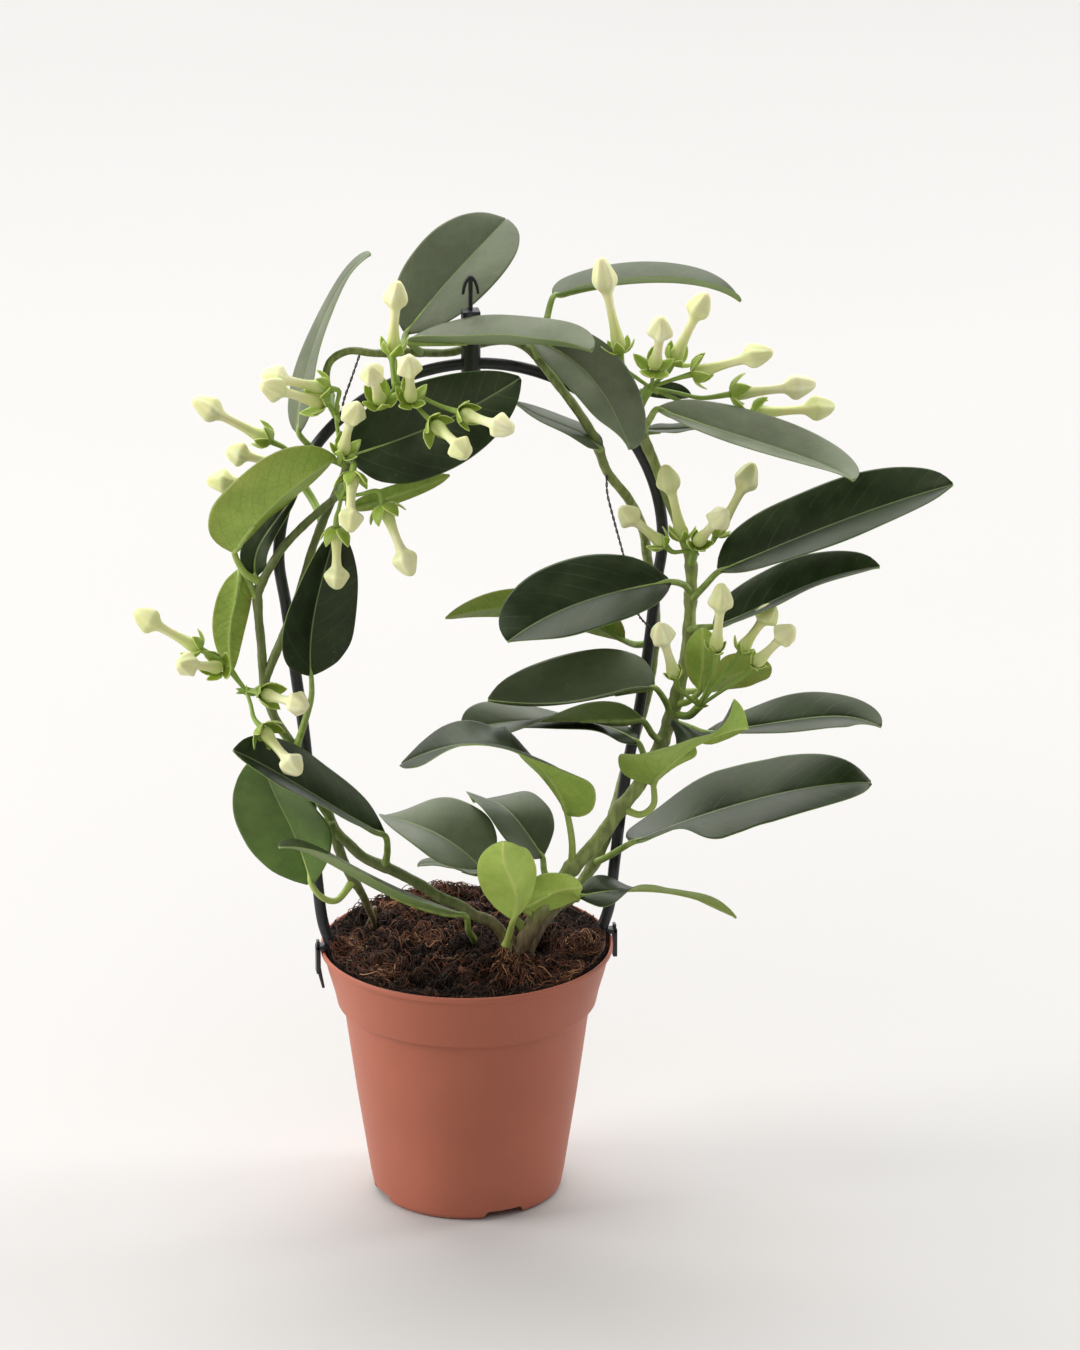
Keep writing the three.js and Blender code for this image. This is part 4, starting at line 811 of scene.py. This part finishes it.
def pot_piece():
    """The pot, turned from its section, with the notches and the drain holes cut out."""
    shape = Shape()
    turns = [2 * math.pi * k / POT_AROUND for k in range(POT_AROUND)]
    shape.capped_grid([[(r * math.cos(a) * MM, r * math.sin(a) * MM, z * MM) for a in turns]
                       for r, z in dense(POT_SECTION, 6)])
    piece = shape.make("pot_look", [pot_plastic()], "pot", weld=1e-6)
    cutter = Shape()
    for angle in NOTCH_AT:
        a = math.radians(angle)
        out, side = np.array([math.cos(a), math.sin(a), 0]), np.array([-math.sin(a), math.cos(a), 0])
        ends = []
        for far in NOTCH_REACH:
            ends.append([out * far * MM + side * x * MM + np.array([0, 0, z * MM]) for x, z in NOTCH])
        box_cut(cutter, ends)
    for k in range(HOLES):
        a = 2 * math.pi * k / HOLES
        centre = np.array([HOLE_AT * math.cos(a), HOLE_AT * math.sin(a), 0])
        ends = [[(centre + (HOLE_R * math.cos(t), HOLE_R * math.sin(t), z)) * MM
                 for t in np.linspace(0, TURN, 25)[:-1]] for z in (-1, 6)]
        box_cut(cutter, ends)
    mesh = bpy.data.meshes.new("cutter")
    mesh.from_pydata(cutter.points, [], cutter.faces)
    weld_mesh(mesh, 1e-7)
    tool = placed("cutter", mesh)
    cut = piece.modifiers.new("cut", "BOOLEAN")
    cut.operation, cut.solver, cut.object = "DIFFERENCE", "EXACT", tool
    apply_modifiers(piece)
    bpy.data.objects.remove(tool)
    piece.data.set_sharp_from_angle(angle=math.radians(40))


def box_cut(shape, ends):
    """A closed block between two outlines with as many points."""
    n = len(ends[0])
    ring = list(range(n))
    sides = [(k, (k + 1) % n, n + (k + 1) % n, n + k) for k in range(n)]
    shape.add(ends[0] + ends[1], sides + [tuple(ring[::-1]), tuple(n + k for k in ring)])


def apply_modifiers(obj):
    graph = bpy.context.evaluated_depsgraph_get()
    done = bpy.data.meshes.new_from_object(obj.evaluated_get(graph))
    obj.modifiers.clear()
    obj.data = done


# The hoop's bar follows the same path as in the solid, in millimetres.
ARCH_X, ARCH_Z, ARCH_R = 2.6, 279, 78
LEG = [(41.2, 45), (44, 66), (46.1, 83), (51, 95), (55, 106), (56, 110), (59.2, 120), (61.5, 140)]
BAR = (2.35, 2.0)
SOCKET_R, SOCKET_FOOT, SOCKET_TOP, SPIKE_TOP = 3.9, 352, 379, 393
# A clip's blocks, across, near and up, and their bevels; the prong and the spike's arm as lines.
CLIP = (((56.5, 62.4), (-2.4, 2.4), (108.7, 110.7), 0.4), ((60.6, 62.4), (-2.4, 2.4), (98.5, 110.7), 0.4),
        ((60.8, 62.1), (-1.4, 1.4), (110.2, 112.6), 0.3))
PRONG = ((61.2, 100), (60.6, 97), (59.4, 91.5))
ARM = ((0, 0.2), (1.5, -1.3), (2.5, -3.8), (3.1, -7))


def hoop_points():
    left = [(-x, z) for x, z in LEG] + [(-65.7, 200), (-69.5, 232)]
    right = (LEG + [(66, 178), (71.2, 205), (75, 232)])[::-1]
    arch = arc(ARCH_X, ARCH_Z, ARCH_R, 195, -15, 14)
    return [np.array([x, 0, z]) * MM for x, z in left + arch + right]


def bevelled_box(shape, low, high, bevel):
    made = bmesh.new()
    bmesh.ops.create_cube(made, size=1.0)
    middle, size = (np.array(low) + high) / 2, np.array(high) - low
    for v in made.verts:
        v.co = Vector(np.array(v.co) * size * MM + middle * MM)
    bmesh.ops.bevel(made, geom=made.edges[:], offset=bevel * MM, segments=2, profile=0.6, affect="EDGES")
    index = {v: i for i, v in enumerate(made.verts)}
    shape.add([tuple(v.co) for v in made.verts], [tuple(index[v] for v in f.verts) for f in made.faces])
    made.free()


def hoop_piece():
    """The bent bar with its two clips, the prong, and the socket with its spike."""
    shape = Shape()
    path = smooth(hoop_points(), 2.0 * MM)
    shape.tube(path, BAR[0] * MM, 20, flat=BAR[1] / BAR[0])
    for sign in (-1, 1):
        for across, (y0, y1), (z0, z1), bevel in CLIP:
            x0, x1 = sorted(sign * x for x in across)
            bevelled_box(shape, (x0, y0, z0), (x1, y1, z1), bevel)
        if sign < 0:
            prong = smooth([np.array([sign * x, 0, z]) * MM for x, z in PRONG], 1.2 * MM)
            shape.tube(prong, np.linspace(0.95, 0.6, len(prong)) * MM, 10)
    foot, top, inner = SOCKET_FOOT, SOCKET_TOP, SOCKET_R - 0.7
    rings = [(inner, foot), (SOCKET_R, foot + 0.7), (SOCKET_R, top - 0.7), (inner, top)]
    rows = [[(ARCH_X * MM + r * MM * math.cos(a), r * MM * math.sin(a), z * MM)
             for a in np.linspace(0, TURN, 33)[:-1]] for r, z in dense(rings, 3)]
    shape.capped_grid(rows)
    bevelled_box(shape, (ARCH_X - 3.6, -3.3, top - 2.4), (ARCH_X + 3.6, 3.3, top + 0.4), 0.5)
    straight = np.array([(ARCH_X, 0, z) for z in np.linspace(top - 1, SPIKE_TOP, 12)]) * MM
    shape.tube(straight, 0.9 * MM, 12)
    for sign in (-1, 1):
        arm = smooth([np.array([ARCH_X + sign * x, 0, SPIKE_TOP + z]) * MM for x, z in ARM], 0.8 * MM)
        shape.tube(arm, np.linspace(0.8, 0.6, len(arm)) * MM, 10)
    shape.make("hoop_look", [hoop_plastic()], "hoop", weld=1e-7, angle=50)


# Hollows in the soil: place in millimetres, half sizes and depth. Then its height at the rim and its crown.
HOLLOWS = [(30, -8, 7, 11, 4.5), (-14, -39, 12, 8, 3), (11, -42, 8, 8, 3), (-37, 31, 8, 8, 2.5),
           (-22, -16, 8, 6, 2)]
SOIL_RIM, SOIL_CROWN = 105.2, 3


def drift(spot):
    """A wandering vector that is the same in each run, which noise_vector's isn't."""
    return Vector([noise.noise(spot + Vector((0, 0, 31.7 * k))) for k in range(3)])


def heights():
    """The soil's height and lightness on a 1 mm net: the solid's lumps, clods, hollows, mounds and a bank;
    the lightness is painted shade, darker in hollows and on low ground between clods, with random patches.
    """
    x, y = np.meshgrid(np.arange(-SOIL_NET, SOIL_NET + 1), np.arange(-SOIL_NET, SOIL_NET + 1))
    share = np.minimum(np.hypot(x, y) / 60, 1)
    big = 1.2 * np.sin(x * 0.21 + 1.3) * np.cos(y * 0.24 - 0.4) + 0.8 * np.sin(x * 0.47 - y * 0.39 + 2.1)
    clods, patches = np.zeros(x.shape), np.zeros(x.shape)
    for i in range(x.shape[0]):
        for j in range(x.shape[1]):
            spot = Vector((x[i, j], y[i, j], 3.0))
            patches[i, j] = 0.8 * noise.noise(spot * 0.075)
            cell = noise.voronoi(spot * 0.13 + 0.5 * drift(spot * 0.2))[0]
            clods[i, j] = 5.0 * (0.5 - cell[0]) + 2.0 * noise.fractal(spot * 0.35, 0.6, 2.1, 4)
    back = 4.0 * np.clip((y - 8) / 42, 0, 1) ** 1.5 * (1 - 0.75 * share ** 6)
    edge = 3.3 * share ** 8 * np.clip((y + 60) / 25, 0, 1)
    legs = 3.0 * np.exp(-((np.abs(x) - 55) ** 2 + y ** 2) / 40)
    behind = 4.5 * np.exp(-((x + 2) ** 2 + (y - 44) ** 2) / 40)
    mound = legs + behind + 2.5 * np.exp(-((x - 26) ** 2 + (y - 6) ** 2) / 120)
    for hx, hy, wide, long, deep in HOLLOWS:
        hollow = deep * np.exp(-((x - hx) / wide) ** 2 - ((y - hy) / long) ** 2)
        big, clods = big - hollow, clods - 0.9 * hollow
    z = SOIL_RIM + SOIL_CROWN * (1 - share ** 2) + big * (1 - share ** 4) + clods * (1 - 0.7 * share ** 6)
    # The lightness: painted shade that darkens hollows and the low ground between clods, plus random patches
    # of tone.
    return z + back + mound + edge, np.clip(0.42 + clods / 3.8 + patches, 0, 1)


SOIL_NET = 62
SOIL_Z, SOIL_SHADE_AND_PATCHES = heights()
SOIL_AROUND, SOIL_RINGS, SOIL_EDGE = 240, 84, 58.1


def ground(x, y, net=None):
    """The soil's height in millimetres at a place or places, read between the points of the net."""
    net = SOIL_Z if net is None else net
    u, v = np.clip(x + SOIL_NET, 0, 2 * SOIL_NET - 0.01), np.clip(y + SOIL_NET, 0, 2 * SOIL_NET - 0.01)
    i, j = np.floor(v).astype(int), np.floor(u).astype(int)
    fv, fu = v - i, u - j
    low = net[i, j] * (1 - fu) + net[i, j + 1] * fu
    high = net[i + 1, j] * (1 - fu) + net[i + 1, j + 1] * fu
    return low * (1 - fv) + high * fv


def soil_piece():
    """The soil's surface in rings, and below it the inside of the pot."""
    shape = Shape()
    rows, data = [], []
    a = np.arange(SOIL_AROUND) * 2 * math.pi / SOIL_AROUND
    for i in range(SOIL_RINGS + 1):
        r = SOIL_EDGE * max(i / SOIL_RINGS, 0.002)
        x, y = r * np.cos(a), r * np.sin(a)
        rows.append(np.column_stack([x, y, ground(x, y)]) * MM)
        data.append(np.column_stack([ground(x, y, SOIL_SHADE_AND_PATCHES), x * 0, x * 0, x * 0]))
    # The rings below the surface carry lightness 0, so they take the near-black colour of the painted shade.
    for r, z in ((56.4, 101), (51.6, 84.6), (49, 82), (38, 5.5)):
        rows.append(np.column_stack([r * np.cos(a), r * np.sin(a), a * 0 + z]) * MM)
        data.append(np.zeros((SOIL_AROUND, 4)))
    shape.capped_grid(rows, data)
    shape.make("soil_look", [soil_skin()], "soil", weld=1e-7)


def inside(x, y, limit=57.0):
    far = math.hypot(x, y)
    return (x * limit / far, y * limit / far) if far > limit else (x, y)


def fibre(shape, x, y, length, bend, lift, thick, tone, rng, steps=11, jitter=0.22, heading=None):
    """One curly fibre that follows the ground, lifted in loops."""
    heading = rng.uniform(0, TURN) if heading is None else heading
    step = length / steps
    phase, waves = rng.uniform(0, ANY_TURN), rng.uniform(0.7, 2)
    points = []
    for i in range(steps + 1):
        share = i / steps
        z = float(ground(x, y)) + lift * abs(math.sin(phase + share * 3.14 * waves)) + 0.15
        points.append((x, y, z))
        heading += bend * step + rng.normal(0, jitter)
        x, y = inside(x + step * math.cos(heading), y + step * math.sin(heading))
    # Fibres take the soil's painted shade too: darker where they lie in hollows and between clods.
    tone *= 0.3 + 0.7 * float(ground(*points[steps // 2][:2], SOIL_SHADE_AND_PATCHES))
    shape.tube(np.array(points) * MM, thick * MM, 3, 0, (0, 0, 0, tone))


# How many fibres and crumbs, and the radius of the field they lie in, in millimetres.
FIBRES, CRUMBS, FIELD = 1500, 900, 56.5


def somewhere(rng):
    r, a = FIELD * math.sqrt(rng.random()), rng.uniform(0, TURN)
    return r * math.cos(a), r * math.sin(a)


def fibre_piece():
    """Coir: curly fibres that lie on the soil, with crumbs and clods between them."""
    rng = np.random.default_rng(7)
    shape = Shape()
    for k in range(FIBRES):
        x, y = somewhere(rng)
        thick = rng.uniform(0.1, 0.26) if rng.random() < 0.92 else rng.uniform(0.28, 0.45)
        fibre(shape, x, y, rng.gamma(3.0, 3.0) + 4, rng.normal(0, 0.12),
              rng.uniform(0.1, 1.4) + 2.2 * rng.random() ** 4, thick, rng.random() ** 1.3, rng)
    for k in range(CRUMBS):
        x, y = somewhere(rng)
        crumb(shape, np.array([x, y, float(ground(x, y)) + 0.1]), rng.gamma(2.0, 0.22) + 0.3, rng)
    shape.make("soil_fibres", [fibre_skin()])


# Where the coir is matted into tangles: place in millimetres, size, and how many fibres.
TANGLES = [(-38, -18, 9, 150), (-50, 2, 6, 60), (46, -10, 8, 150), (-18, 6, 9, 50), (-5, 50, 7, 50),
           (34, -40, 8, 30), (-28, 38, 10, 50), (30, 38, 8, 40)]
# The strands under the trunk: how many, where they start, and the way they run, in radians.
STRANDS, STRANDS_AT, STRANDS_RUN = 130, (19, -15), -1.65


def tangle_piece():
    """The matted tangles, and the strands that hang from the trunk's foot towards the rim."""
    rng = np.random.default_rng(23)
    shape = Shape()
    for cx, cy, size, count in TANGLES:
        for k in range(count):
            x, y = cx + rng.normal(0, size * 0.45), cy + rng.normal(0, size * 0.45)
            bend = rng.choice((-1, 1)) * rng.uniform(0.12, 0.42)
            x, y = inside(x, y, 55)
            fibre(shape, x, y, rng.uniform(14, 34), bend, rng.uniform(0.6, 3.6), rng.uniform(0.12, 0.24),
                  0.45 + 0.8 * rng.random(), rng, steps=22, jitter=0.12)
    for k in range(STRANDS):
        x, y = STRANDS_AT[0] + rng.normal(0, 3.5), STRANDS_AT[1] + rng.normal(0, 2.5)
        fibre(shape, x, y, rng.uniform(12, 34), rng.normal(0, 0.03), rng.uniform(0.3, 2.6),
              rng.uniform(0.16, 0.36), 0.5 + 0.7 * rng.random(), rng, steps=16, jitter=0.14,
              heading=rng.normal(STRANDS_RUN, 0.5))
    shape.make("soil_tangles", [fibre_skin()])


# A crumb has two points and two rings of five, the lower ring half a step round from the upper one.
CRUMB = [(0, 0, 1), (0.9, 0, 0.4), (0.28, 0.85, 0.45), (-0.72, 0.53, 0.4), (-0.72, -0.53, 0.45),
         (0.28, -0.85, 0.4), (0.72, 0.53, -0.4), (-0.28, 0.85, -0.45), (-0.9, 0, -0.4), (-0.28, -0.85, -0.45),
         (0.72, -0.53, -0.4), (0, 0, -1)]
STEPS = [(1, 2), (2, 3), (3, 4), (4, 5), (5, 1)]
CRUMB_FACES = ([(0, k, n) for k, n in STEPS] + [(k, k + 5, n) for k, n in STEPS]
               + [(k + 5, n + 5, n) for k, n in STEPS] + [(11, n + 5, k + 5) for k, n in STEPS])


def crumb(shape, centre, size, rng):
    stretch = size * rng.uniform(0.6, 1.3, 3)
    turn = np.linalg.qr(rng.normal(size=(3, 3)))[0]
    points = [(centre + turn @ (np.array(p) * stretch * rng.uniform(0.75, 1.2))) * MM for p in CRUMB]
    shape.add(points, CRUMB_FACES, 0, (0, 0, 0, rng.random() * 0.45))


# Where roots start, in the tables' terms, and how many; and how woody they are.
ROOTS = (((18, 98, 12), 12), ((25, 98, 8), 5), ((-38, 98, -19), 3))
WOODY = 0.9


def root_piece():
    """Thin roots and old stubs round the feet of the stems."""
    rng = np.random.default_rng(11)
    shape = Shape()
    for foot, count in ROOTS:
        base = turned(foot)
        for k in range(count):
            a = rng.uniform(0, ANY_TURN)
            reach = rng.uniform(5, 12)
            points = []
            for d in np.linspace(0, 1, 6):
                x, y = base[0] + math.cos(a) * reach * d, base[1] + math.sin(a) * reach * d
                a += rng.normal(0, 0.25)
                z = float(ground(x, y)) + (1 - d) ** 2 * 8 - 0.4 * d
                points.append((x, y, z))
            path = smooth([np.array(q) * MM for q in points], 1.5 * MM)
            radii = np.linspace(1.0, 0.3, len(path)) * rng.uniform(0.6, 1.1) * MM
            shape.tube(path, radii, 7, 0, (0, 0, WOODY, 0))
    shape.make("stem_roots", [stem_skin()])


# A tie's two wires: radius and distance from their path in millimetres, and the turn from point to point.
WIRE_R, WIRE_OFF, WIRE_TWIST = 0.26, 0.3, 0.75


def wire_piece(name, points):
    """Two thin wires twisted round each other."""
    shape = Shape()
    path = smooth([at(q) for q in points], 0.7 * MM)
    tangents = np.gradient(path, axis=0)
    for start in (0.0, math.pi):
        strand = []
        for i, point in enumerate(path):
            along = unit(tangents[i])
            side = unit(np.cross(along, (0.2, 0.9, 0.1)))
            other = np.cross(along, side)
            a = start + i * WIRE_TWIST
            strand.append(point + WIRE_OFF * MM * (math.cos(a) * side + math.sin(a) * other))
        shape.tube(np.array(strand), WIRE_R * MM, 6)
    shape.make(name + "_look", [WIRE], name)


def stage_piece():
    mesh = bpy.data.meshes.new("floor")
    corners = [(x * FLOOR_HALF, y * FLOOR_HALF, 0) for x, y in ((-1, -1), (1, -1), (1, 1), (-1, 1))]
    mesh.from_pydata(corners, [], [(0, 1, 2, 3)])
    mesh.materials.append(floor_skin())
    floor = placed("floor", mesh)


def aim(obj, place, target):
    obj.location = place
    obj.rotation_euler = (Vector(target) - Vector(place)).to_track_quat("-Z", "Y").to_euler()


def softbox(name, place, target, size, power, colour):
    light = bpy.data.lights.new(name, "AREA")
    light.shape = "RECTANGLE"
    light.size, light.size_y = size
    light.energy = power
    light.color = colour
    aim(placed(name, light), place, target)


def camera():
    """The photo's camera, found from the pot's rim, its foot and the hoop."""
    cam = bpy.data.cameras.new("camera")
    cam.lens = LENS
    cam.sensor_width = 36
    cam.clip_end = 100
    obj = placed("camera", cam)
    aim(obj, EYE, TARGET)
    bpy.context.scene.camera = obj


def world():
    made = bpy.data.worlds.new("studio")
    made.use_nodes = True
    sky = made.node_tree.nodes["Background"]
    sky.inputs[0].default_value = (1.0, 0.99, 0.98, 1)
    sky.inputs[1].default_value = WORLD_LIGHT
    bpy.context.scene.world = made
    bpy.context.scene.view_settings.view_transform = "Standard"


WORLD_LIGHT, FLOOR_HALF = 0.2, 12.0
LENS, EYE, TARGET = 183.8, (-0.3645, -2.5938, 1.1897), (0.0299, -0.0038, 0.2246)
# Each light: its place, what it faces, its size in metres, its power in watts and its colour.
LIGHTS = {
    "top": ((0.1, 1.7, 3.1), (0, 0.1, 0), (5.0, 2.2), 130, (0.985, 0.99, 1)),
    "fore": ((0, -2.2, 2.6), (0, 0.2, 0), (4.5, 1.2), 18, (1, 1, 1)),
    "back": ((0, 5.0, 2.6), (0, 0, 0.25), (7.0, 3.4), 150, (1, 1, 1)),
    "left": ((-1.9, 0.1, 1.0), (0, 0, 0.25), (1.1, 1.4), 38, (1, 0.985, 0.965)),
    "right": ((1.9, 0.3, 1.0), (0, 0, 0.25), (0.6, 1.3), 17, (1, 1, 1)),
    "front": ((-0.6, -2.4, 1.7), (0, 0, 0.2), (1.6, 1.2), 7, (1, 0.99, 0.975)),
}
# How woody each stem's foot is, and how dark its green.
BARK = {"right": (1.0, 0.0), "long": (1.0, 0.3), "left": (0.8, 1.0)}
BUD_SET = [bud_skin(), sepal_skin(), pedicel_skin()]
EDGE = plain_skin("leaf_edge", 120.0, (108, 136, 70), (146, 170, 98), Roughness=0.5)
LEAF_SET = [leaf_top(), leaf_under(), EDGE, stalk()]
WIRE = plain_skin("wire_skin", 400.0, (34, 32, 30), (84, 80, 72), Roughness=0.5, Metallic=0.3)
# What each leaf looks like: 0 is a mature leaf, 1 a young one, and below 0 one greyed partly by dust and
# partly by painted sheen.
TONES = {"top_back": -0.31, "top_bar": -0.38, "top_droop": -0.36, "top_arch": -0.2, "right_high": -0.46,
         "inner_third": -0.24, "inner_folded": -0.25, "low_left": -0.3, "low_upright": -0.16,
         "low_sliver": -0.1, "left_narrow": -0.4, "left_edge_on": -0.35, "centre_right": -0.2,
         "low_twisted": 0.4, "low_overturned": 0.4, "left_face": 0.3, "left_bright": 0.75,
         "soil_round": 1.0, "soil_small": 0.8, "right_round": 0.6, "right_light": 0.6}
# How large a cluster's sepals are, where they are smaller than the rest.
CROWNS = {"low_right": 0.66, "right": 0.8}

for number, (name, spec) in enumerate(LEAVES.items()):
    leaf_piece("leaf_" + name, spec, TONES.get(name, 0.0), number)
for number, (name, spec) in enumerate(SPRAYS.items()):
    spray_piece("spray_" + name, spec, CROWNS.get(name, 1.0), 100 + number)
for name, runs in STEMS.items():
    joints = [at(s[1][0]) for s in [*LEAVES.values(), *SPRAYS.values()] if s[0] == name]
    stem_piece("stem_" + name, runs, joints, *BARK[name])
for name, points in WIRES.items():
    wire_piece(name, points)
pot_piece()
hoop_piece()
soil_piece()
fibre_piece()
tangle_piece()
root_piece()
stage_piece()
world()
camera()
for name, row in LIGHTS.items():
    softbox(name, *row)
bpy.context.view_layer.update()
